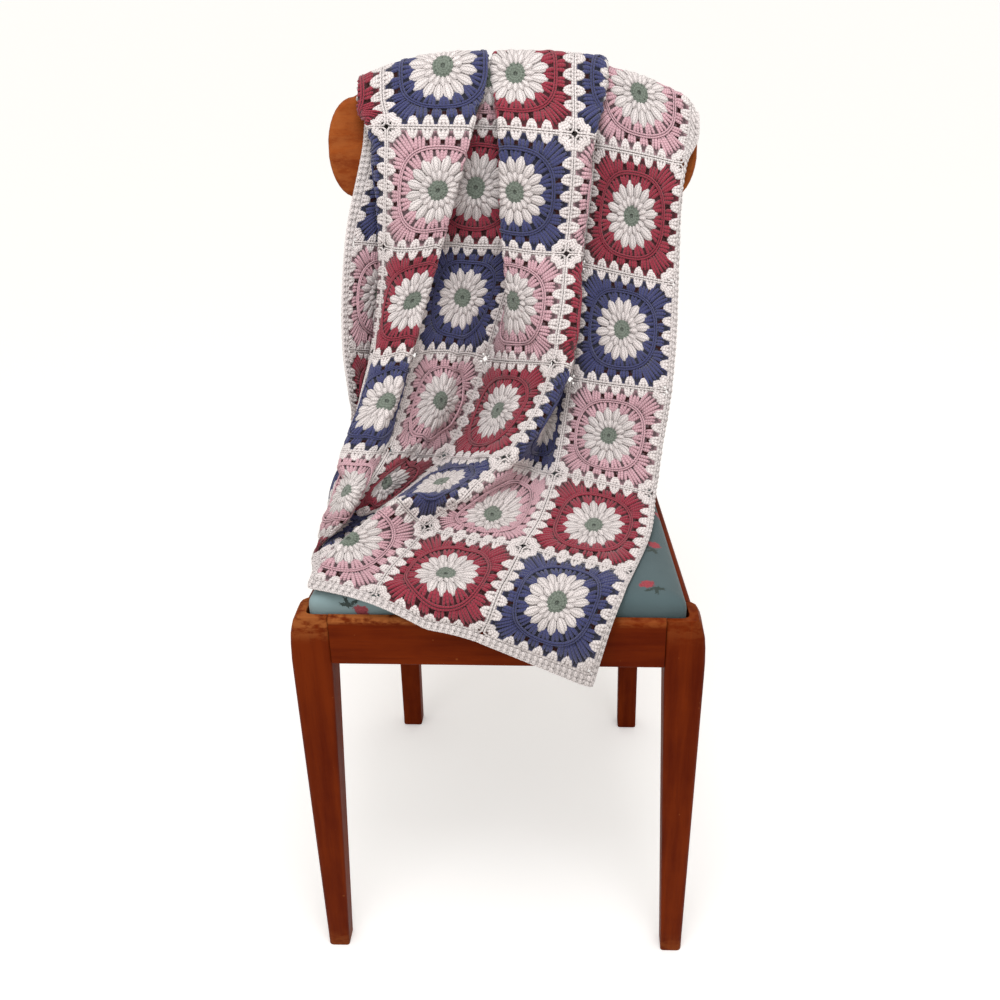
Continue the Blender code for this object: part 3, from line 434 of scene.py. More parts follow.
# stitches in millimetres
POST_HALF = 0.0158 * SQUARE
POST_HEIGHT = 1.85
POST_LIFT = 0.1
POST_SIDES = 6
UNEVEN_LIFT = 0.15
UNEVEN_SIZE = 0.05
LEAST_HEIGHT = 0.35
# share of the length, share of the half-width, lift in millimetres
POST_PROFILE = ((0.0, 0.62, 0.0), (0.22, 1.0, 0.5), (0.72, 1.04, 0.6), (1.0, 0.62, 0.1))
PETAL_PROFILE = (
    (0.0, 0.40, 0.1), (0.22, 0.76, 0.7), (0.48, 1.0, 1.1), (0.70, 0.96, 1.0), (0.88, 0.68, 0.7),
    (1.0, 0.30, 0.3),
)

# every square's column, row, centre in millimetres and colour number
COLUMN, ROW = (a.reshape(-1) for a in np.meshgrid(np.arange(SQUARES_ACROSS), np.arange(SQUARES_LONG)))
CENTRES = BORDER + SQUARE * (np.stack([COLUMN, ROW], 1) + 0.5)
COLOUR_OF = (ROW + COLUMN) % len(COLOURS)


def even_turns(count, shift=0.0):
    """Directions spread evenly round a full turn."""
    return (np.arange(count) + shift) * 2 * math.pi / count


def ridge_reach(turn):
    """Distance of the raised ridge from the flower's centre: a circle pushed out towards the corners."""
    n = RIDGE_SQUARENESS
    return RIDGE_RADIUS / (np.abs(np.cos(turn)) ** n + np.abs(np.sin(turn)) ** n) ** (1 / n)


def round_of_groups(groups):
    """Start and end points of all posts: three side by side in each group, from its foot to its head."""
    starts, ends = [], []
    for foot, head, (half_foot, half_head) in groups:
        leg = head - foot
        across = np.array((-leg[1], leg[0])) / np.hypot(*leg)
        offsets = np.array((-1.0, 0.0, 1.0))[:, None] * across
        inset = np.array((1.0, 0.0, 1.0))[:, None] * leg * MIDDLE_FOOT
        starts.append(foot + offsets * half_foot + inset)
        ends.append(head + offsets * half_head)
    return np.concatenate(starts), np.concatenate(ends)


def on_sides(groups):
    """One side's groups, given along it and out from the middle, repeated on all four sides."""
    placed = []
    for side in np.array(SIDES, float):
        ahead = np.array((-side[1], side[0]))
        for *ends, halves in groups:
            foot, head = (side * out + ahead * along for along, out in ends)
            placed.append((foot, head, halves))
    return round_of_groups(placed)


def first_round():
    """Sixteen groups whose feet stand between the petals, fanned out to the ridge."""
    groups = []
    for turn in even_turns(PETALS):
        way = np.array((math.cos(turn), math.sin(turn)))
        groups.append((way * FIRST_FOOT, way * (ridge_reach(turn) - UNDER_RIDGE), FIRST_HALVES))
    return round_of_groups(groups)


def second_round():
    """Four groups on each side and a pair at each corner, from the ridge to the square's edge band."""
    groups = []
    for along in (np.arange(4) - 1.5) * SIDE_STEP:
        foot = FOOT_SHARE * along
        turn = math.asin(foot / RIDGE_RADIUS)
        out = ridge_reach(turn) * math.cos(turn) + OVER_RIDGE
        groups.append(((foot, out), (along, COLOUR_TOP), SECOND_HALVES))
    for way in (-1, 1):
        turn = way * CORNER_TURN
        reach = ridge_reach(turn) + OVER_RIDGE
        head = (way * CORNER_ALONG, COLOUR_TOP + CORNER_RISE)
        groups.append(((reach * math.sin(turn), reach * math.cos(turn)), head, SECOND_CORNER_HALVES))
    return on_sides(groups)


def cream_round():
    """Five groups on each side and a pair at each corner; they widen to the square's edge."""
    groups = []
    for along in np.arange(-2, 3) * SIDE_STEP:
        groups.append(((along, CREAM_BASE), (along, CREAM_TOP), CREAM_HALVES))
    for way in (-1, 1):
        foot = (way * CREAM_CORNER_FOOT, CREAM_BASE + CREAM_CORNER_RISE)
        groups.append((foot, (way * CREAM_CORNER_HEAD, CREAM_TOP), CREAM_CORNER_HALVES))
    return on_sides(groups)


def spokes(near, far, shift=0.0):
    """Sixteen straight stitches that stand round the centre like spokes."""
    turns = even_turns(PETALS, shift)
    way = np.stack([np.cos(turns), np.sin(turns)], 1)
    return way * near, way * far


def on_squares(plan, centres):
    """A square's points repeated round each centre, in millimetres."""
    return (plan[None] * SQUARE + centres[:, None]).reshape(-1, 2)


def ring_paths(reach, height, centres):
    """Closed paths round each centre through points at these distances, spread evenly round it."""
    turns, reach = even_turns(len(reach)), reach * SQUARE
    ring = np.stack([reach * np.cos(turns), reach * np.sin(turns), 0 * turns + height], 1)
    return ring[None] + np.concatenate([centres, np.zeros((len(centres), 1))], 1)[:, None]


# ---------------- laying stitches on the cloth
EDGE_WIDTH = 12.5
PLY_TURN = 3.2
CORD_SIDES = 5
# a lobed tube has its first corner on top, and a plain one has a side there
SIDE_ON_TOP = 0.5
# middle and spread of the stitches' tones
TONE_RANGE = (0.5, 0.2)
GRID_MARGIN = 1e-6


class Cloth:
    """The draped middle surface and its normals, read between the points of an even grid."""

    def __init__(self):
        self.points = fine_grid()
        rows, columns = self.points.shape[:2]
        across, along = np.gradient(self.points, axis=1), np.gradient(self.points, axis=0)
        self.normals = unit(np.cross(along, across))
        self.scale = np.array(((columns - 1) / CLOTH_WIDTH, (rows - 1) / CLOTH_LENGTH))

    def read(self, grid, u, v):
        """A grid read between its four nearest points, in shares of a cell."""
        a = np.clip(u * self.scale[0], 0, grid.shape[1] - 1 - GRID_MARGIN)
        b = np.clip(v * self.scale[1], 0, grid.shape[0] - 1 - GRID_MARGIN)
        i, j = a.astype(int), b.astype(int)
        s, t = (a - i)[..., None], (b - j)[..., None]
        near = grid[j, i] * (1 - s) + grid[j, i + 1] * s
        far = grid[j + 1, i] * (1 - s) + grid[j + 1, i + 1] * s
        return near * (1 - t) + far * t

    def lay(self, flat):
        """Flat u, v, h in millimetres to places on the drape in metres."""
        u, v, h = flat[..., 0], flat[..., 1], flat[..., 2:]
        place = self.read(self.points, u, v) + unit(self.read(self.normals, u, v)) * h
        return (place - FOOTPRINT_MIDDLE) * MM


def spread(flat):
    """Outer squares reach a little farther out, to the worked edge; the seams between squares stay."""
    out = flat.copy()
    seam = BORDER + SQUARE
    for axis, end in ((0, CLOTH_WIDTH), (1, CLOTH_LENGTH)):
        at = (0, BORDER, seam, end - seam, end - BORDER, end)
        to = (EDGE_WIDTH - BORDER, EDGE_WIDTH, seam, end - seam, end - EDGE_WIDTH, end + BORDER - EDGE_WIDTH)
        out[..., axis] = np.interp(flat[..., axis], at, to)
    return out


def tube_rings(path, half_width, half_height, sides, first, closed, lobes):
    """Rings round paths in flat coordinates: path + width cos(a) across it + height sin(a) upward.

    On the drape u, v and h are a left-handed set, so the rings run clockwise for faces that point out.
    With lobes, every second corner is drawn in by that share.
    """
    along = np.roll(path, -1, 1) - np.roll(path, 1, 1) if closed else np.gradient(path, axis=1)
    along[..., 2] = 0.0
    along = unit(along)
    side = np.stack([-along[..., 1], along[..., 0], 0 * along[..., 0]], -1)
    turn = math.pi / 2 - even_turns(sides, first)
    swell = 1 - lobes * (np.arange(sides) % 2)
    across = (swell * np.cos(turn))[:, None] * side[:, :, None, :] * half_width[..., None, None]
    upward = (swell * np.sin(turn))[:, None] * np.array((0.0, 0.0, 1.0)) * half_height[..., None, None]
    return path[:, :, None, :] + across + upward


def tube_faces(count, rings, sides, closed=False):
    """Quads between neighbouring rings as an array of vertex numbers, and end caps for open tubes."""
    first = np.arange(count)[:, None, None] * rings * sides
    k = np.arange(rings if closed else rings - 1)[None, :, None]
    j = np.arange(sides)[None, None, :]
    near, far, j_next = first + k * sides, first + (k + 1) % rings * sides, (j + 1) % sides
    quads = np.stack([near + j, near + j_next, far + j_next, far + j], -1).reshape(-1, 4)
    if closed:
        return quads, np.empty((0, sides), int)
    start = first[:, 0] + np.arange(sides)[::-1]
    end = first[:, 0] + (rings - 1) * sides + np.arange(sides)
    return quads, np.concatenate([start, end])


class Stitches:
    """Collects tubes for one piece: their rings, faces, yarn coordinates and tones.

    Spaced stitches belong to the squares and are moved out with them; the border's are not.
    """

    def __init__(self, random, spaced=True):
        self.random, self.spaced, self.total = random, spaced, 0
        self.points, self.sizes, self.loops, self.uvs, self.tones = [], [], [], [], []

    def faces(self, corners, uvs):
        self.loops.append((corners + self.total).reshape(-1))
        self.sizes.append(np.full(len(corners), corners.shape[1]))
        self.uvs.append(uvs.reshape(-1, 2))

    def tubes(self, path, half_width, half_height, sides, strands=1, closed=False, lobes=0.0):
        """Tubes along paths, with yarn coordinates that count strands across and plies along them."""
        count, rings = path.shape[:2]
        self.tones.append(np.repeat(np.clip(self.random.normal(*TONE_RANGE, count), 0, 1), rings * sides))
        first = 0.0 if lobes else SIDE_ON_TOP
        quads, caps = tube_faces(count, rings, sides, closed)
        steps = rings if closed else rings - 1
        leg = np.linalg.norm(np.roll(path, -1, 1) - path, axis=-1)[:, :steps]
        reach = np.concatenate([np.zeros((count, 1)), np.cumsum(leg, 1)], 1) / PLY_TURN
        near, far, left = np.broadcast_arrays(
            reach[:, :-1, None], reach[:, 1:, None], (np.arange(sides) + first) / sides * strands,
        )
        right = left + strands / sides
        self.faces(quads, np.stack([left, near, right, near, right, far, left, far], -1))
        self.faces(caps, np.zeros((caps.size, 2)))
        points = tube_rings(path, half_width, half_height, sides, first, closed, lobes)
        self.points.append(points.reshape(-1, 3))
        self.total += count * rings * sides

    def straight(self, starts, ends, profile, half, height, lift, sides, strands=1, jitter=0.3, lobes=0.0):
        """Tubes along straight stitches, with a profile and small uneven differences."""
        share, width, rise = np.array(profile).T
        starts = starts + self.random.normal(0, jitter, starts.shape)
        ends = ends + self.random.normal(0, jitter, ends.shape)
        t = share[:, None]
        plan = starts[:, None] * (1 - t) + ends[:, None] * t
        level = lift + rise + self.random.normal(0, UNEVEN_LIFT, (len(starts), 1))
        path = np.concatenate([plan, level[..., None]], -1)
        size = 1 + self.random.normal(0, UNEVEN_SIZE, (len(starts), 1))
        flatness = LEAST_HEIGHT + (1 - LEAST_HEIGHT) * width
        self.tubes(path, half * size * width, height * size * flatness, sides, strands, lobes=lobes)

    def posts(self, starts, ends, centres, half=POST_HALF, lift=POST_LIFT):
        """A square's posts, worked round each centre."""
        starts, ends = on_squares(starts, centres), on_squares(ends, centres)
        self.straight(starts, ends, POST_PROFILE, half, POST_HEIGHT, lift, POST_SIDES)

    def cords(self, paths, half, beads=0.0):
        """Closed cords; with beads every second point is thinner, as in a chain."""
        swell = 1 - beads * (np.arange(paths.shape[1]) % 2)
        sizes = half * np.broadcast_to(swell, paths.shape[:2])
        self.tubes(paths, sizes, sizes, CORD_SIDES, closed=True)

    def piece(self, name, cloth, look):
        parts = self.points, self.loops, self.sizes, self.uvs, self.tones
        flat, loops, sizes, uvs, tones = map(np.concatenate, parts)
        flat = spread(flat) if self.spaced else flat
        return make_piece(name, cloth.lay(flat), loops, sizes, [look], uvs, tones)


def make_piece(name, points, loops, sizes, looks, uvs, tones=None, face_looks=None):
    """A mesh object at the origin from arrays of points in metres and faces of any size."""
    mesh = bpy.data.meshes.new(name)
    mesh.vertices.add(len(points))
    mesh.vertices.foreach_set("co", points.astype(np.float32).reshape(-1))
    mesh.loops.add(len(loops))
    mesh.loops.foreach_set("vertex_index", loops.astype(np.int32))
    mesh.polygons.add(len(sizes))
    mesh.polygons.foreach_set("loop_start", (np.cumsum(sizes) - sizes).astype(np.int32))
    for look in looks:
        mesh.materials.append(look)
    if face_looks is not None:
        mesh.polygons.foreach_set("material_index", face_looks.astype(np.int32))
    mesh.update(calc_edges=True)
    mesh.polygons.foreach_set("use_smooth", np.ones(len(sizes), bool))
    mesh.uv_layers.new(name="cloth").data.foreach_set("uv", uvs.astype(np.float32).reshape(-1))
    if tones is not None:
        attribute = mesh.attributes.new("tone_and_painted_shade", "FLOAT", "POINT")
        attribute.data.foreach_set("value", tones.astype(np.float32))
    mesh.validate()
    piece = bpy.data.objects.new(name, mesh)
    bpy.context.scene.collection.objects.link(piece)
    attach(piece, "root")
    return piece


# ---------------- working the blanket
# the green centre's cords: distance, points, height, half thickness, beads
DISC_CORDS = ((0.025, 16, 0.9, 1.0, 0.0), (0.080, 32, 0.9, 1.2, 0.3))
DISC_POST_HALF = 2.1
DISC_LIFT = -0.2
# the petals' reach, shift, half-width, height, lift, sides, strands and lobes
PETAL_RINGS = (
    ((0.140, 0.284), 0.5, 6.0, 2.4, 0.1, 12, 6, 0.13),
    ((0.080, 0.163), 0.0, 3.7, 2.1, 0.5, 8, 4, 0.12),
)
PETAL_JITTER = 0.45
# the ridge's two cords: side of its line, height
RIDGE_CORDS = ((-1, 2.4), (1, 2.1))
RIDGE_HALF = 1.15
CREAM_POST_HALF = 2.15

SEAM_INSET = 1.35
SEAM_CHAINS = 21
SEAM_HALF = 1.35
SEAM_BEADS = 0.30
SEAM_HEIGHT = 1.3
# a chain lies lower beside the border, and bends in near the square's corners
SEAM_DROP = 1.2
SEAM_DROP_REACH = 3.0
SEAM_BEND_FROM = 0.94
SEAM_BEND = 2.4

BORDER_POST_STEP = SQUARE / 18
# depth of a row's near and far side from the squares, slant of its posts
BORDER_ROWS = ((0.0, 6.6, 0.8), (6.2, 11.2, -0.8))
BORDER_POST = dict(half=4.5, height=1.7, lift=0.1, sides=8, strands=4, jitter=0.25, lobes=0.14)
CORNER_ROUND = 9.0
LEAST_CORNER_ROUND = 3.0
CORNER_POINTS = 7
EDGE_CHAIN_INSET = 1.3
EDGE_CHAIN_HEIGHT = 0.3
EDGE_CHAIN_HALF = 1.45
EDGE_BEADS = 0.25


def seam_chains():
    """A chain just inside each square's edge: two of them run side by side along every seam."""
    half = SQUARE / 2 - SEAM_INSET
    line = np.linspace(-1, 1, 2 * SEAM_CHAINS, endpoint=False)
    bend = np.clip((np.abs(line) - SEAM_BEND_FROM) / (1 - SEAM_BEND_FROM), 0, 1) ** 2 * SEAM_BEND
    sides = [np.stack([line * half, half - bend], 1)]
    for _ in range(3):
        sides.append(np.stack([sides[-1][:, 1], -sides[-1][:, 0]], 1))
    loops = np.concatenate(sides)[None] + CENTRES[:, None]
    from_rim = np.minimum(loops, np.array((CLOTH_WIDTH, CLOTH_LENGTH)) - loops).min(-1, keepdims=True)
    height = SEAM_HEIGHT - SEAM_DROP * (from_rim < BORDER + SEAM_DROP_REACH)
    return np.concatenate([loops, height], -1)


def edge_line(inset, step):
    """Points along the rectangle that lies an inset inside the cloth's outline, its corners rounded."""
    radius = max(CORNER_ROUND - inset, LEAST_CORNER_ROUND)
    low = np.array((inset, inset))
    high = np.array((CLOTH_WIDTH, CLOTH_LENGTH)) - inset
    corners = ((low[0], low[1], 180), (high[0], low[1], 270), (high[0], high[1], 0), (low[0], high[1], 90))
    outline = []
    for u, v, start in corners:
        centre = np.clip((u, v), low + radius, high - radius)
        turn = np.radians(start + np.linspace(0, 90, CORNER_POINTS))
        outline.append(centre + radius * np.stack([np.cos(turn), np.sin(turn)], 1))
    outline = np.concatenate(outline + [outline[0][:1]])
    reach = np.concatenate([[0], np.cumsum(np.linalg.norm(np.diff(outline, axis=0), axis=1))])
    at = np.linspace(0, reach[-1], round(reach[-1] / step), endpoint=False)
    return np.stack([np.interp(at, reach, outline[:, k]) for k in (0, 1)], 1)


def worked_pieces(random):
    """Name, yarn and stitches of every worked piece."""
    disc = Stitches(random)
    disc.posts(*spokes(EYE_RADIUS, DISC_RADIUS, DISC_SHIFT), CENTRES, half=DISC_POST_HALF, lift=DISC_LIFT)
    for reach, points, height, half, beads in DISC_CORDS:
        disc.cords(ring_paths(np.full(points, reach), height, CENTRES), half, beads)
    yield "green_centres", "sage", disc

    flower = Stitches(random)
    for reach, shift, half, height, lift, sides, strands, lobes in PETAL_RINGS:
        starts, ends = (on_squares(plan, CENTRES) for plan in spokes(*reach, shift))
        flower.straight(starts, ends, PETAL_PROFILE, half, height, lift, sides, strands, PETAL_JITTER, lobes)
    yield "flower_petals", "cream", flower

    for number, colour in enumerate(COLOURS):
        centres = CENTRES[COLOUR_OF == number]
        rounds = Stitches(random)
        rounds.posts(*first_round(), centres)
        rounds.posts(*second_round(), centres)
        for way, height in RIDGE_CORDS:
            reach = ridge_reach(even_turns(RIDGE_SEGMENTS)) + way * RIDGE_GAP
            rounds.cords(ring_paths(reach, height, centres), RIDGE_HALF)
        yield colour + "_rounds", colour, rounds

    cream = Stitches(random)
    cream.posts(*cream_round(), CENTRES, half=CREAM_POST_HALF)
    yield "cream_rounds", "cream", cream

    seams = Stitches(random)
    seams.cords(seam_chains(), SEAM_HALF, SEAM_BEADS)
    border = Stitches(random, spaced=False)
    for near, far, slant in BORDER_ROWS:
        outer = edge_line(EDGE_WIDTH - far, BORDER_POST_STEP)
        ahead = unit(np.roll(outer, -1, 0) - np.roll(outer, 1, 0))
        inward = np.stack([-ahead[:, 1], ahead[:, 0]], 1)
        inner = outer + inward * (far - near) + ahead * slant
        border.straight(inner, outer - ahead * slant, POST_PROFILE, **BORDER_POST)
    line = edge_line(EDGE_CHAIN_INSET, BORDER_POST_STEP / 2)
    line = line[:len(line) // 2 * 2]
    rim = np.concatenate([line, np.full((len(line), 1), EDGE_CHAIN_HEIGHT)], 1)[None]
    border.cords(rim, EDGE_CHAIN_HALF, EDGE_BEADS)
    yield "border_rows", "cream", border
    yield "seam_stitches", "cream", seams


# ---------------- the ground the stitches share, darkened with painted shade
CELLS = 40
BORDER_CELLS = 5
EDGE_INSET = 1.0
GROUND_LEVEL = 0.1
# what a cell is, and which yarn lies over it
OPEN, COVERED, GAP, RIM = range(4)
CREAM, COLOURED, GREEN = range(3)
WEB_LOOKS = ("cream", "sage", *COLOURS, "shade")
# painted shade of the web, as tones that darken it: behind cream and green, in the rim, and behind colours
# and in the gaps
PALE_WEB_PAINTED_SHADE = -1.8
RIM_WEB_PAINTED_SHADE = -1.2
DEEP_WEB_PAINTED_SHADE = -5.3
# a square's parts, in shares of its side
FAN_MARGIN = 0.002
FAN_ENDS = (0.04, 0.96)
RIDGE_HALF_WIDTH = 0.016
FLOWER_RADIUS = 0.235
CREAM_FROM = COLOUR_TOP - 0.012
SEAM_FROM, SEAM_TO = 0.486, 0.47
BAND_FROM, BAND_TO = COLOUR_TOP + 0.005, 0.36
DIAGONAL_HALF, DIAGONAL_TO = 0.03, COLOUR_TOP - 0.01
HOLE_FROM = 0.43


def in_fans(place, posts):
    """Cells inside the fan of any group: near its middle post, within the spread of its outer ones."""
    starts, ends = posts
    inside = np.zeros(place.shape[:2], bool)
    for foot, head, left, right in zip(starts[1::3], ends[1::3], starts[::3], ends[::3]):
        leg = head - foot
        t = np.clip(((place - foot) @ leg) / (leg @ leg), *FAN_ENDS)
        reach = np.linalg.norm(place - foot - t[..., None] * leg, axis=-1)
        wide = np.linalg.norm(left - foot) * (1 - t) + np.linalg.norm(right - head) * t
        inside |= reach < wide + FAN_MARGIN
    return inside


def ground_template():
    """What each cell of a square is, open, covered or a gap, and the yarn that lies over it."""
    line = (np.arange(CELLS) + 0.5) / CELLS - 0.5
    place = np.stack(np.meshgrid(line, line), -1)
    x, y = place[..., 0], place[..., 1]
    reach, ridge = np.hypot(x, y), ridge_reach(np.arctan2(y, x))
    outer, inner = np.maximum(np.abs(x), np.abs(y)), np.minimum(np.abs(x), np.abs(y))
    coloured = in_fans(place, first_round()) | in_fans(place, second_round())
    coloured |= np.abs(reach - ridge) < RIDGE_HALF_WIDTH
    cream = in_fans(place, cream_round()) & (outer > CREAM_FROM) | (outer > SEAM_FROM) & (inner < SEAM_TO)
    cream |= reach < FLOWER_RADIUS
    kept = coloured | cream | (reach < ridge) | (outer > BAND_FROM) & (inner < BAND_TO)
    kept |= (outer - inner < DIAGONAL_HALF) & (outer < DIAGONAL_TO)
    yarn = np.where(reach < DISC_RADIUS, GREEN, np.where(cream, CREAM, COLOURED))
    return np.where(kept, COVERED, np.where(inner < HOLE_FROM, GAP, OPEN)), yarn


def ground_lines(count, length):
    """Lines of the web's cells along one way of the cloth: its rim, its squares and its other rim."""
    rim = np.linspace(EDGE_INSET + BORDER - EDGE_WIDTH, BORDER, BORDER_CELLS, endpoint=False)
    cells = np.linspace(0, SQUARE, CELLS, endpoint=False)
    squares = [BORDER + SQUARE * k + cells for k in range(count)]
    return np.concatenate([rim, *squares, length - np.append(rim, BORDER)[::-1]])


def build_ground(cloth, looks):
    """A thin web in the middle of the cloth that joins the stitches, open between the squares' corners. Its
    tones paint shade under and between the stitches, and its gap cells are a dark sheet of painted shadow.
    """
    across, along = ground_lines(SQUARES_ACROSS, CLOTH_WIDTH), ground_lines(SQUARES_LONG, CLOTH_LENGTH)
    kept = np.full((len(along) - 1, len(across) - 1), RIM)
    look = np.zeros(kept.shape, int)
    covered, yarn = ground_template()
    for column, row, colour in zip(COLUMN, ROW, COLOUR_OF):
        j, i = BORDER_CELLS + row * CELLS, BORDER_CELLS + column * CELLS
        kept[j:j + CELLS, i:i + CELLS] = covered
        # the looks' numbers for cream, this square's colour and green
        look[j:j + CELLS, i:i + CELLS] = np.choose(yarn, (0, 2 + colour, 1))
    # painted shadow: the small gaps are closed with the dark web
    look[kept == GAP] = WEB_LOOKS.index("shade")

    u, v = np.meshgrid(across, along)
    flat = spread(np.stack([u, v, np.full(u.shape, GROUND_LEVEL)], -1)).reshape(-1, 3)
    j, i = np.nonzero(kept != OPEN)
    near, far = j * len(across) + i, (j + 1) * len(across) + i
    loops = np.stack([near, far, far + 1, near + 1], 1)
    size = flat[loops[:, 2], :2] - flat[loops[:, 0], :2]
    used, renumbered = np.unique(loops, return_inverse=True)
    renumbered = renumbered.reshape(loops.shape)
    kept, look = kept[j, i], look[j, i]
    # painted shade: the web is darker under the stitches and darkest behind the colours and in the gaps
    tones = np.full(len(used), DEEP_WEB_PAINTED_SHADE)
    for cells, tone_and_painted_shade in ((look < 2, PALE_WEB_PAINTED_SHADE), (kept == RIM, RIM_WEB_PAINTED_SHADE), (kept == GAP, DEEP_WEB_PAINTED_SHADE)):
        tones[renumbered[cells]] = tone_and_painted_shade
    piece = make_piece(
        "blanket_ground", cloth.lay(flat[used]), renumbered.reshape(-1), np.full(len(loops), 4),
        [looks[name] for name in WEB_LOOKS], flat[loops.reshape(-1), :2] / PLY_TURN, tones, look,
    )
    return piece, size.prod(-1).sum() * MM * MM


# ---------------- seat pad
# height, inset of the ring
PAD_RINGS = (
    (442.4, 5.0), (443.2, 3.9), (446.0, 2.8), (456.0, 2.4), (463.0, 2.4), (468.0, 2.9), (471.6, 4.0),
    (474.3, 5.7), (476.7, 8.4), (478.6, 12.6), (480.0, 18.6), (480.9, 28.0), (481.5, 42.0),
    (481.9, 62.0), (482.0, 90.0), (482.0, 125.0),
)
PAD_SIDE_POINTS = 30
PAD_BEND_POINTS = 7
PAD_COUNT = 4 * (PAD_BEND_POINTS + PAD_SIDE_POINTS - 1)
PAD_ROUND_LOSS = 0.3
PAD_LEAST_ROUND = 2.0
# the cotton is drawn down at the front corners: where, how wide, how deep, above which height
PULL_AT = (178, 26)
PULL_SPREAD = (22, 18)
PULL_DEPTH = 1.3
PULL_ABOVE = 470


def pad_outline(inset):
    """The pad's outline in plan, drawn in by an inset: a trapezium with rounded corners."""
    front, back = PAD_INSET + inset, PAD_BACK_Y - inset
    half_front, half_back = (SEAT_HALF_FRONT - SEAT_TAPER * y - PAD_INSET - inset for y in (front, back))
    corners = np.array(((-half_front, front), (half_front, front), (half_back, back), (-half_back, back)))
    radius = max(PAD_CORNER_ROUND - PAD_ROUND_LOSS * inset, PAD_LEAST_ROUND)
    before, after = (corners + unit(np.roll(corners, step, 0) - corners) * radius for step in (1, -1))
    t = np.linspace(0, 1, PAD_BEND_POINTS)[:, None, None]
    bend = before * (1 - t) ** 2 + 2 * corners * t * (1 - t) + after * t ** 2
    s = np.linspace(0, 1, PAD_SIDE_POINTS + 1)[1:-1, None, None]
    side = after * (1 - s) + np.roll(before, -1, 0) * s
    return np.concatenate([bend, side]).transpose(1, 0, 2).reshape(-1, 2)


def build_seat_pad(look):
    """Rings of the pad's outline stacked from its underside to its crown, closed at both ends.

    The cotton is laid out flat for its print: a ring's inset on the flat cotton is the crown's inset
    less the length of the profile between the two.
    """
    heights, insets = np.array(PAD_RINGS).T
    steps = np.hypot(np.diff(heights), np.diff(insets))
    laid = insets[-1] - np.append(np.cumsum(steps[::-1])[::-1], 0.0)
    cotton = np.concatenate([pad_outline(inset) for inset in laid])
    cotton = np.concatenate([cotton, cotton[-PAD_COUNT:].mean(0)[None]]) - FOOTPRINT_MIDDLE[:2]
    points = np.concatenate([np.insert(pad_outline(inset), 2, z, 1) for z, inset in PAD_RINGS])
    off = (np.abs(points[:, 0]) - PULL_AT[0]) / PULL_SPREAD[0], (points[:, 1] - PULL_AT[1]) / PULL_SPREAD[1]
    points[:, 2] -= PULL_DEPTH * np.exp(-off[0] ** 2 - off[1] ** 2) * (points[:, 2] > PULL_ABOVE)
    points = np.concatenate([points, points[-PAD_COUNT:].mean(0)[None]])
    quads, caps = tube_faces(1, len(PAD_RINGS), PAD_COUNT)
    top = len(points) - 1
    crown = top - PAD_COUNT + np.arange(PAD_COUNT)
    fan = np.stack([crown, np.roll(crown, -1), np.full(PAD_COUNT, top)], 1)
    loops = np.concatenate([quads.reshape(-1), caps[0], fan.reshape(-1)])
    sizes = np.concatenate([np.full(len(quads), 4), [PAD_COUNT], np.full(PAD_COUNT, 3)])
    places = (points - FOOTPRINT_MIDDLE) * MM
    pad = make_piece("seat_pad_cover", places, loops, sizes, [look], cotton[loops] * MM)
    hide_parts("seat_pad")


# ---------------- materials
YARNS = {
    "cream": (0.755, 0.70, 0.695),
    "sage": (0.165, 0.20, 0.165),
    "pale_pink": (0.605, 0.37, 0.42),
    "rose": (0.290, 0.024, 0.048),
    "denim_blue": (0.046, 0.052, 0.155),
}
# painted shadow: a dark web that fills the small gaps between stitch groups, where there is only shade
GAP_PAINTED_SHADOW = (0.25, 0.10, 0.10)
# bumps: strength, depth in metres
YARN_BUMP = (0.75, 0.0007)
WOOD_LIGHT = (0.165, 0.022, 0.0022)
WOOD_DEEP = (0.088, 0.0082, 0.001)
WOOD_WORN = (0.36, 0.112, 0.030)
BOARD_LIGHT = (0.34, 0.082, 0.016)
BOARD_DEEP = (0.18, 0.032, 0.007)
# painted shade: the deep grain colour of the darker copy of the wood on the rail under the seat
SHADED_RAIL_DEEP = (0.05, 0.005, 0.0008)
WOOD_BUMP = (0.25, 0.0006)
# where rubbed places begin and are full, in metres
RAIL_WEAR_FROM_TO = ((FRAME_TOP - 10) * MM, (FRAME_TOP - 5) * MM)
LEG_WEAR_FROM_TO = ((FRAME_TOP - 34) * MM, (FRAME_TOP - 6) * MM)
FOOT_WEAR_TO = 0.03
BOARD_WEAR_FROM_TO = (0.14, 0.22)
SEAT_BLUE = (0.235, 0.335, 0.355)
# painted shade: darkens the seat's cotton towards its right side
SEAT_RIGHT_PAINTED_SHADE = (0.30, 0.325, 0.335)
SPRIG_ROSE = (0.37, 0.042, 0.060)
SPRIG_DEEP = (0.17, 0.012, 0.025)
SPRIG_GREEN = (0.030, 0.047, 0.042)
WHITE = (1.0, 1.0, 1.0)


def rgba(colour, share=1.0):
    """A colour times a share, with full alpha."""
    return (*[part * share for part in colour], 1.0)


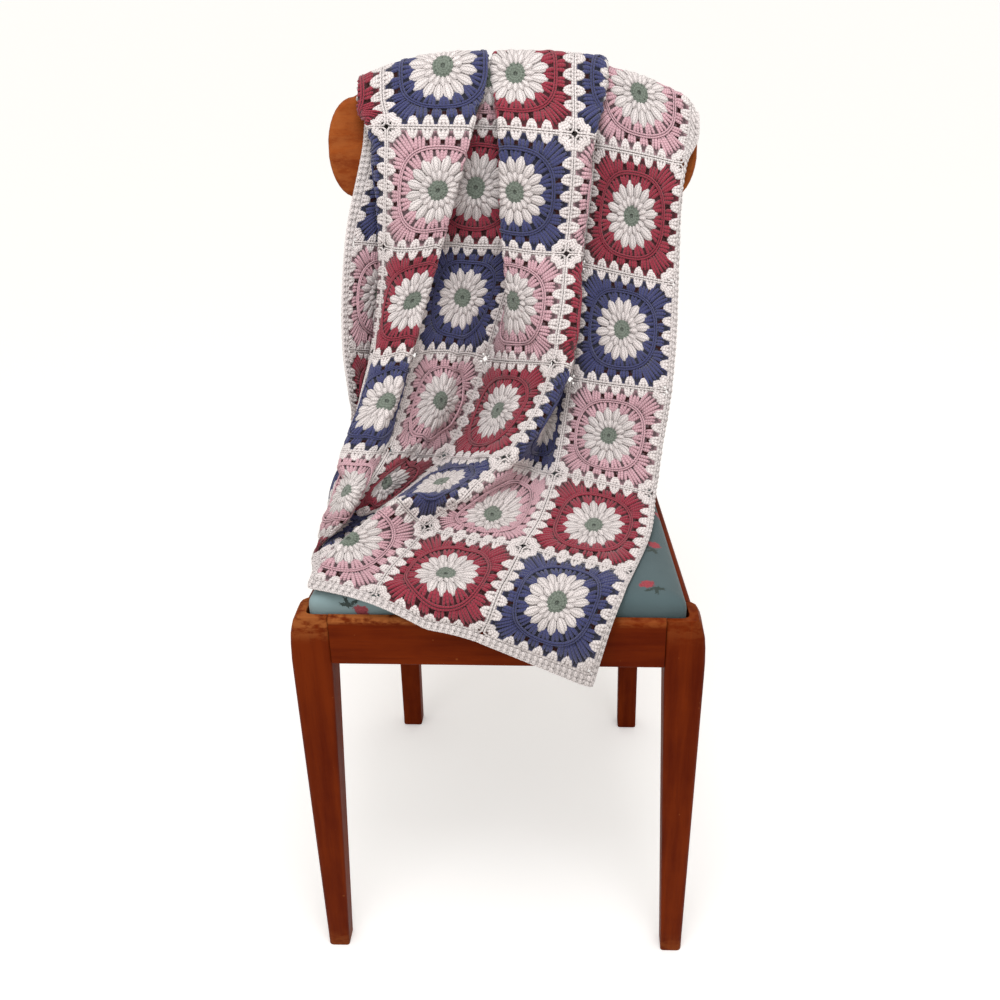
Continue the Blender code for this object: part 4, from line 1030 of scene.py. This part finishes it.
class Nodes:
    """Small helper that adds nodes to a tree, sets their plain inputs and links the rest."""

    def __init__(self, tree):
        self.tree = tree

    def put(self, socket, value):
        """Links another node's socket in, or sets a plain value."""
        if isinstance(value, bpy.types.NodeSocket):
            self.tree.links.new(value, socket)
        else:
            socket.default_value = value

    def add(self, kind, inputs, **settings):
        node = self.tree.nodes.new("ShaderNode" + kind)
        for key, value in settings.items():
            setattr(node, key, value)
        for key, value in inputs.items():
            self.put(node.inputs[key], value)
        return node

    def math(self, operation, *values, clamp=False):
        return self.add("Math", dict(enumerate(values)), operation=operation, use_clamp=clamp).outputs[0]

    def times(self, a, b, clamp=False):
        return self.math("MULTIPLY", a, b, clamp=clamp)

    def times_plus(self, a, b, c):
        """a times b, plus c."""
        return self.math("MULTIPLY_ADD", a, b, c)

    def vector(self, operation, *values):
        out = 1 if operation in ("LENGTH", "DOT_PRODUCT") else 0
        return self.add("VectorMath", dict(enumerate(values)), operation=operation).outputs[out]

    def scaled(self, vector, scale):
        """A vector times one number."""
        return self.add("VectorMath", {0: vector, "Scale": scale}, operation="SCALE").outputs[0]

    def parts(self, vector):
        return self.add("SeparateXYZ", {0: vector}).outputs

    def ramp(self, value, low, high, to_low=0.0, to_high=1.0):
        inputs = {"Value": value, "From Min": low, "From Max": high, "To Min": to_low, "To Max": to_high}
        return self.add("MapRange", inputs, interpolation_type="SMOOTHSTEP").outputs["Result"]

    def noise(self, vector, scale, detail=3.0, roughness=0.5, out="Fac"):
        inputs = {"Vector": vector, "Scale": scale, "Detail": detail, "Roughness": roughness}
        return self.add("TexNoise", inputs).outputs[out]

    def mix(self, share, a, b):
        return self.add("Mix", {0: share, 6: a, 7: b}, data_type="RGBA").outputs[2]

    def place(self):
        return self.add("TexCoord", {}).outputs["Object"]

    def laid(self):
        return self.add("UVMap", {}, uv_map="cloth").outputs["UV"]

    def camera_sees(self):
        return self.add("LightPath", {}).outputs["Is Camera Ray"]

    def group(self, tree, **inputs):
        return self.add("Group", inputs, node_tree=tree).outputs

    def bump(self, shader, height, strength, distance):
        node = self.add("Bump", {"Strength": strength, "Distance": distance, "Height": height})
        self.put(shader.inputs["Normal"], node.outputs["Normal"])


def new_group(name, inputs, outputs):
    """An empty node group: its helper, its input sockets by name and a function that ends it."""
    tree = bpy.data.node_groups.new(name, "ShaderNodeTree")
    for way, sockets in (("INPUT", inputs), ("OUTPUT", outputs)):
        for socket, kind in sockets.items():
            tree.interface.new_socket(name=socket, in_out=way, socket_type="NodeSocket" + kind)
    nodes = Nodes(tree)
    entry = tree.nodes.new("NodeGroupInput").outputs
    leave = tree.nodes.new("NodeGroupOutput").inputs

    def finish(**results):
        for key, value in results.items():
            nodes.put(leave[key], value)
        return tree
    return nodes, entry, finish


def material(name, colour, roughness, **constants):
    """A Principled material and its helper; constants go on the shader's own sockets."""
    made = bpy.data.materials.new(name)
    made.use_nodes = True
    shader = made.node_tree.nodes["Principled BSDF"]
    made.diffuse_color = shader.inputs["Base Color"].default_value = rgba(colour)
    shader.inputs["Roughness"].default_value = roughness
    for key, value in constants.items():
        shader.inputs[key.replace("_", " ")].default_value = value
    return made, Nodes(made.node_tree), shader


def yarn_twist_group():
    """Twisted yarn: grooves between strands along it, plies across them and fine loose fibres. Its colour
    holds painted shade in the grooves, on a tube's underside and between the plies, and is slightly lighter
    on the ply crests.
    """
    nodes, entry, finish = new_group(
        "yarn_twist_painted_shade", {"Yarn": "Vector", "Place": "Vector", "Tone": "Float", "Colour": "Color"},
        {"Colour": "Color", "Height": "Float"},
    )
    across, along, _ = nodes.parts(entry["Yarn"])
    aside = nodes.math("ABSOLUTE", nodes.math("SUBTRACT", across, nodes.math("ROUND", across)))
    groove = nodes.ramp(aside, 0.26, 0.5)
    slant = nodes.times_plus(aside, 2.2, along)
    ply = nodes.math("ABSOLUTE", nodes.math("SINE", nodes.times(slant, math.pi)))
    ply = nodes.math("POWER", ply, 0.6)
    fibre = nodes.noise(entry["Place"], 1500.0, 2.0)
    height = nodes.times_plus(ply, 0.55, nodes.times(groove, -0.5))
    height = nodes.times_plus(fibre, 0.35, height)
    # painted shade: darker in the grooves between strands and between plies, slightly lighter on the ply
    # crests
    painted_groove_shade = nodes.times(nodes.ramp(ply, 0.0, 0.9, 0.50, 1.08), nodes.ramp(groove, 0.0, 1.0, 1.0, 0.6))
    painted_groove_shade = nodes.times(painted_groove_shade, nodes.ramp(fibre, 0.25, 0.75, 0.88, 1.08))
    patch = nodes.ramp(nodes.noise(entry["Place"], 26.0, 2.0), 0.3, 0.7, 0.95, 1.04)
    # the tone attribute is each stitch's random tone, and on the web it is painted shade
    tone_and_painted_shade = nodes.times_plus(entry["Tone"], 0.14, 0.92)
    share = nodes.times(nodes.times(painted_groove_shade, patch), tone_and_painted_shade)
    shade = nodes.add("CombineXYZ", {0: share, 1: share, 2: share}).outputs[0]
    return finish(Colour=nodes.vector("MULTIPLY", entry["Colour"], shade), Height=height)


def yarn_material(name, colour, group, sheen=0.25, gloss=0.2):
    """Soft yarn of one colour, twisted along its own UV map and lighter or darker by its tone."""
    made, nodes, shader = material(
        name + "_yarn", colour, 0.93, Sheen_Weight=sheen, Sheen_Roughness=0.6, Specular_IOR_Level=gloss,
    )
    laid, place = nodes.laid(), nodes.place()
    tone_and_painted_shade = nodes.add("Attribute", {}, attribute_name="tone_and_painted_shade").outputs["Fac"]
    twisted = nodes.group(group, Yarn=laid, Place=place, Tone=tone_and_painted_shade, Colour=rgba(colour))
    nodes.put(shader.inputs["Base Color"], twisted["Colour"])
    nodes.bump(shader, twisted["Height"], *YARN_BUMP)
    return made


def varnish_group():
    """Old varnished wood: broad streaks along the grain, fine pores, blotches and rubbed places. On the front
    rail and front legs the rubbed mask also holds painted light from the left.
    """
    colours = {"Light": "Color", "Deep": "Color", "Worn": "Color"}
    nodes, entry, finish = new_group(
        "old_varnish", {"Grain": "Vector", "Place": "Vector", **colours, "Wear": "Float"},
        {"Colour": "Color", "Roughness": "Float", "Height": "Float"},
    )

    def drawn_out(vector, scales, *noise):
        return nodes.noise(nodes.vector("MULTIPLY", entry[vector], scales), 1.0, *noise)
    streak = drawn_out("Grain", (70.0, 70.0, 5.0), 5.0, 0.6)
    pores = drawn_out("Grain", (900.0, 900.0, 28.0), 2.0)
    blotch = nodes.noise(entry["Place"], 9.0, 4.0, 0.6)
    share = nodes.times_plus(streak, 0.9, nodes.times(blotch, 0.7))
    colour = nodes.mix(nodes.ramp(share, 0.55, 1.05), entry["Deep"], entry["Light"])
    pore = nodes.ramp(pores, 0.58, 0.70)
    colour = nodes.mix(nodes.times(pore, 0.35), colour, entry["Deep"])
    rub = drawn_out("Place", (60.0, 60.0, 130.0), 5.0, 0.65)
    # rubbed places and, on the rail and front legs, painted light from the left
    worn_and_lit = nodes.times(entry["Wear"], nodes.ramp(rub, 0.36, 0.60), clamp=True)
    colour = nodes.mix(worn_and_lit, colour, entry["Worn"])
    speck = nodes.ramp(nodes.noise(entry["Place"], 170.0, 1.0), 0.77, 0.80)
    colour = nodes.mix(nodes.times(speck, 0.35), colour, entry["Worn"])
    roughness = nodes.math("ADD", nodes.ramp(blotch, 0.3, 0.7, 0.34, 0.46), nodes.times(worn_and_lit, 0.2))
    height = nodes.math("SUBTRACT", nodes.times(streak, 0.4), nodes.times(pore, 0.5))
    return finish(Colour=colour, Roughness=roughness, Height=height)


def wood_material(name, group, along, light, deep, wear):
    """Varnished wood whose grain runs along one axis; wear makes the mask of rubbed places, which on the rail
    and the front legs also holds painted light.
    """
    made, nodes, shader = material(name, light, 0.4, Specular_IOR_Level=0.4, IOR=1.12)
    place = nodes.place()
    turned = {"x": (0.0, math.pi / 2, 0.0), "y": (math.pi / 2, 0.0, 0.0), "z": (0.0, 0.0, 0.0)}[along]
    grain = nodes.add("Mapping", {"Vector": place, "Rotation": turned}).outputs[0]
    rubbed = wear(nodes, place) if wear else 0.0
    tints = {"Light": rgba(light), "Deep": rgba(deep), "Worn": rgba(WOOD_WORN)}
    old = nodes.group(group, Grain=grain, Place=place, **tints, Wear=rubbed)
    nodes.put(shader.inputs["Base Color"], old["Colour"])
    nodes.put(shader.inputs["Roughness"], old["Roughness"])
    nodes.bump(shader, old["Height"], *WOOD_BUMP)
    return made


def rail_wear_and_painted_light(nodes, place):
    """Rubbed along the top edge; it is stronger towards the left as painted light from that side."""
    parts = nodes.parts(place)
    edge = nodes.ramp(parts[2], *RAIL_WEAR_FROM_TO)
    # painted light: the lighter colour fades from full on the left to 0.4 on the right
    return nodes.times(edge, nodes.ramp(parts[0], -0.10, 0.12, 1.0, 0.4))


def leg_wear_and_painted_light(nodes, place):
    """Rubbed round the tops of the front legs, fading below them, and a little at both feet. The left top is
    four times as strong as the right, as painted light from the left.
    """
    parts = nodes.parts(place)
    top = nodes.ramp(parts[2], *LEG_WEAR_FROM_TO, 0.0, 0.85)
    # painted light: the left leg's top takes the full lighter colour, the right one a quarter
    top = nodes.times(top, nodes.ramp(parts[0], -0.05, 0.05, 1.0, 0.25))
    return nodes.math("ADD", top, nodes.ramp(parts[2], 0.0, FOOT_WEAR_TO, 0.35, 0.0))


def board_wear(nodes, place):
    """Rubbed towards both rounded ends."""
    return nodes.ramp(nodes.math("ABSOLUTE", nodes.parts(place)[0]), *BOARD_WEAR_FROM_TO, 0.0, 0.55)


# name, grain, light and deep colour and wear of each node's wood; some wear masks also hold painted light
WOODS = {
    "backrest_board": ("board_wood", "x", BOARD_LIGHT, BOARD_DEEP, board_wear),
    "front_rail": ("front_rail_wood", "x", WOOD_LIGHT, WOOD_DEEP, rail_wear_and_painted_light),
    "back_seat_rail": ("back_rail_wood", "x", WOOD_LIGHT, WOOD_DEEP, None),
    # painted shade: the rail under the seat takes the deep wood colour as its light one and a darker deep one
    "lower_back_rail": ("lower_rail_wood", "x", WOOD_DEEP, SHADED_RAIL_DEEP, None),
    "side_rail": ("side_rail_wood", "y", WOOD_LIGHT, WOOD_DEEP, None),
    "front_leg": ("front_leg_wood", "z", WOOD_LIGHT, WOOD_DEEP, leg_wear_and_painted_light),
    "back_post": ("back_post_wood", "z", WOOD_LIGHT, WOOD_DEEP, None),
}


# ---------------- printed cotton of the seat
# the printed lattice in millimetres: its two steps, one rose's middle and each step's turn
SPRIG_ACROSS = (97.3, 12.4)
SPRIG_ALONG = (12.5, 79.7)
SPRIG_AT = (149.5, 33.5)
SPRIG_TURN = (1.05, 1.1)
OVAL_SOFTNESS = 0.18
# centre, half lengths and turn in degrees of the ovals that make a rose and its leaves
ROSE_OVALS = (((0, 0), (7.2, 6.0), 20), ((-4.5, -2.5), (4.0, 3.2), -30))
LEAF_OVALS = (
    ((11.5, -6.5), (6.0, 1.9), -10), ((8.5, -10.5), (5.2, 1.7), -75), ((1.5, -9.5), (5.5, 1.8), 25),
    ((8.0, -4.5), (4.5, 0.6), -35), ((9.5, -8.5), (0.6, 4.2), 20),
)
WEAVE_PITCH = 0.55
COTTON_BUMP = (0.35, 0.0012)


def ovals(nodes, vector, shapes):
    """Mask of ovals: 1 inside any of them, 0 outside, with a soft rim."""
    mask = None
    for centre, sizes, degrees in shapes:
        inputs = {"Vector": vector, "Location": (*centre, 0.0), "Rotation": (0.0, 0.0, math.radians(degrees)),
                  "Scale": (*sizes, 1.0)}
        spot = nodes.add("Mapping", inputs, vector_type="TEXTURE").outputs[0]
        away = nodes.vector("LENGTH", nodes.vector("MULTIPLY", spot, (1.0, 1.0, 0.0)))
        oval = nodes.ramp(away, 1 - OVAL_SOFTNESS, 1 + OVAL_SOFTNESS, 1.0, 0.0)
        mask = nodes.math("MAXIMUM", mask, oval) if mask else oval
    return mask


def sprig_group():
    """A small printed rose with its stem and leaves, in millimetres from the rose's middle."""
    masks = {"Rose": "Float", "Fold": "Float", "Leaf": "Float"}
    nodes, entry, finish = new_group("rose_sprig", {"Spot": "Vector"}, masks)
    rough = nodes.noise(entry["Spot"], 0.45, 2.0, out="Color")
    rough = nodes.vector("MULTIPLY", nodes.vector("SUBTRACT", rough, (0.5, 0.5, 0.5)), (6.5, 6.5, 0.0))
    shaken = nodes.vector("ADD", entry["Spot"], rough)
    rose = ovals(nodes, shaken, ROSE_OVALS)
    whirl = nodes.vector("LENGTH", nodes.vector("MULTIPLY", shaken, (1.0, 1.3, 0.0)))
    fold = nodes.ramp(nodes.math("SINE", nodes.times(whirl, 2.1)), 0.1, 0.8)
    return finish(Rose=rose, Fold=fold, Leaf=ovals(nodes, shaken, LEAF_OVALS))


def cotton_material(sprig):
    """Duck-egg cotton with rose sprigs on a slanted lattice, each turned its own way, and a plain weave; its
    right side is darkened as painted shade.
    """
    gloss = {"Sheen_Weight": 0.15, "Specular_IOR_Level": 0.3}
    made, nodes, shader = material("printed_cotton", SEAT_BLUE, 0.85, **gloss)
    place, cotton = nodes.place(), nodes.scaled(nodes.laid(), 1 / MM)
    middle = np.array(SPRIG_AT) - FOOTPRINT_MIDDLE[:2]
    spot = nodes.vector("SUBTRACT", cotton, (*middle, 0.0))
    back = np.linalg.inv(np.array((SPRIG_ACROSS, SPRIG_ALONG)).T)
    steps = [nodes.vector("DOT_PRODUCT", spot, (*row, 0.0)) for row in back]
    whole = [nodes.math("ROUND", step) for step in steps]
    part = [nodes.math("SUBTRACT", a, b) for a, b in zip(steps, whole)]
    local = [nodes.times_plus(part[0], a, nodes.times(part[1], b)) for a, b in zip(SPRIG_ACROSS, SPRIG_ALONG)]
    spot = nodes.add("CombineXYZ", dict(enumerate(local))).outputs[0]
    angle = nodes.times_plus(whole[0], SPRIG_TURN[0], nodes.times(whole[1], SPRIG_TURN[1]))
    spot = nodes.add("VectorRotate", {"Vector": spot, "Angle": angle}, rotation_type="Z_AXIS").outputs[0]
    printed = nodes.group(sprig, Spot=spot)
    fade = nodes.ramp(nodes.noise(place, 14.0, 3.0), 0.3, 0.7)
    ground = nodes.mix(fade, rgba(SEAT_BLUE, 0.9), rgba(SEAT_BLUE, 1.1))
    # painted shade: the ground colour darkens towards the right of the seat
    right_painted_shade = nodes.ramp(nodes.parts(place)[0], -0.16, 0.10)
    ground = nodes.mix(right_painted_shade, ground, nodes.vector("MULTIPLY", ground, SEAT_RIGHT_PAINTED_SHADE))
    colour = nodes.mix(nodes.times(printed["Leaf"], 0.95), ground, rgba(SPRIG_GREEN))
    rose = nodes.mix(nodes.times(printed["Fold"], 0.6), rgba(SPRIG_ROSE), rgba(SPRIG_DEEP))
    colour = nodes.mix(nodes.times(printed["Rose"], 0.92), colour, rose)
    nodes.put(shader.inputs["Base Color"], colour)
    weave = nodes.parts(nodes.scaled(cotton, 2 * math.pi / WEAVE_PITCH))
    threads = nodes.times(nodes.math("SINE", weave[0]), nodes.math("SINE", weave[1]))
    slack = nodes.noise(place, 30.0, 3.0)
    nodes.bump(shader, nodes.times_plus(threads, 0.12, slack), *COTTON_BUMP)
    return made


# ---------------- room
CAMERA_PLACE = (0.0720, -1.1445, 1.0552)
CAMERA_PITCH = 0.4719
CAMERA_YAW = 0.0211
CAMERA_FAR = 100.0
LENS = 39.6
SHIFT_X = -0.0471
SUN_FROM = (0.0, -0.62, 0.78)
SUN_SPREAD = 50.0
SUN_STRENGTH = 0.70
SUN_TINT = (0.975, 0.985, 1.0)
SKY_STRENGTH = 0.66
SKY_SEEN = 0.97
SKY_TINT = (1.0, 0.94, 0.875)
PANEL_PLACE = (0.05, -0.62, 1.90)
PANEL_AIM = (0.0, 0.05, 0.75)
PANEL_SIDE = 0.7
PANEL_POWER = 10.5
FLOOR_PALE = (0.93, 0.93, 0.93)
FLOOR_SEEN = 0.26
FLOOR_SIDE = 60.0


def put_in_room(name, data, place=(0.0, 0.0, 0.0), turn=(0.0, 0.0, 0.0)):
    """A linked object of this data at a place, turned."""
    thing = bpy.data.objects.new(name, data)
    bpy.context.scene.collection.objects.link(thing)
    thing.location, thing.rotation_euler = place, turn
    return thing


def lit_from(east, north, up):
    """Turn of a lamp that shines from this side."""
    return math.atan2(math.hypot(east, north), up), 0.0, math.atan2(east, -north)


def build_room():
    """A wide pale floor, even light from all round, a broad soft front light and a near panel above."""
    floor = bpy.data.meshes.new("floor")
    half = FLOOR_SIDE / 2
    corners = [(x * half, y * half, 0) for x, y in ((-1, -1), (1, -1), (1, 1), (-1, 1))]
    floor.from_pydata(corners, [], [(0, 1, 2, 3)])
    made, nodes, shader = material("pale_floor", FLOOR_PALE, 0.9, Emission_Color=rgba(WHITE))
    nodes.put(shader.inputs["Emission Strength"], nodes.times(nodes.camera_sees(), FLOOR_SEEN))
    floor.materials.append(made)
    ground = put_in_room("floor", floor)

    world = bpy.data.worlds.new("studio")
    world.use_nodes = True
    nodes = Nodes(world.node_tree)
    sky, seen = world.node_tree.nodes["Background"], nodes.camera_sees()
    nodes.put(sky.inputs["Color"], nodes.mix(seen, rgba(SKY_TINT), rgba(WHITE)))
    nodes.put(sky.inputs["Strength"], nodes.ramp(seen, 0.0, 1.0, SKY_STRENGTH, SKY_SEEN))
    bpy.context.scene.world = world
    bpy.context.scene.view_settings.view_transform = "Standard"

    sun = bpy.data.lights.new("window", "SUN")
    sun.energy, sun.angle, sun.color = SUN_STRENGTH, math.radians(SUN_SPREAD), SUN_TINT
    put_in_room("window", sun, turn=lit_from(*SUN_FROM))

    panel = bpy.data.lights.new("panel", "AREA")
    panel.energy, panel.size = PANEL_POWER, PANEL_SIDE
    put_in_room("panel", panel, PANEL_PLACE, lit_from(*(a - b for a, b in zip(PANEL_PLACE, PANEL_AIM))))

    camera = bpy.data.cameras.new("camera")
    camera.lens, camera.shift_x, camera.clip_end = LENS, SHIFT_X, CAMERA_FAR
    turn = math.pi / 2 - CAMERA_PITCH, 0.0, CAMERA_YAW
    bpy.context.scene.camera = put_in_room("camera", camera, CAMERA_PLACE, turn)


# ---------------- everything together
def dress_chair():
    """Gives every wooden node its varnish, with the grain along it."""
    varnish = varnish_group()
    looks = {key: wood_material(name, varnish, *rest) for key, (name, *rest) in WOODS.items()}
    for name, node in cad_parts.items():
        look = looks.get(name.removesuffix("_left").removesuffix("_right"))
        if look:
            node.data.materials.clear()
            node.data.materials.append(look)


def dress_blanket():
    twist = yarn_twist_group()
    looks = {name: yarn_material(name, colour, twist) for name, colour in YARNS.items()}
    # painted shadow: the dark web in the small gaps, with no sheen or gloss
    looks["shade"] = yarn_material("gap_painted_shadow", GAP_PAINTED_SHADOW, twist, sheen=0.0, gloss=0.0)
    cloth = Cloth()
    stitched = worked_pieces(np.random.default_rng(SEED))
    worked = [stitches.piece(name, cloth, looks[yarn]) for name, yarn, stitches in stitched]
    ground, area = build_ground(cloth, looks)
    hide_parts("blanket")


build_room()
dress_chair()
build_seat_pad(cotton_material(sprig_group()))
dress_blanket()
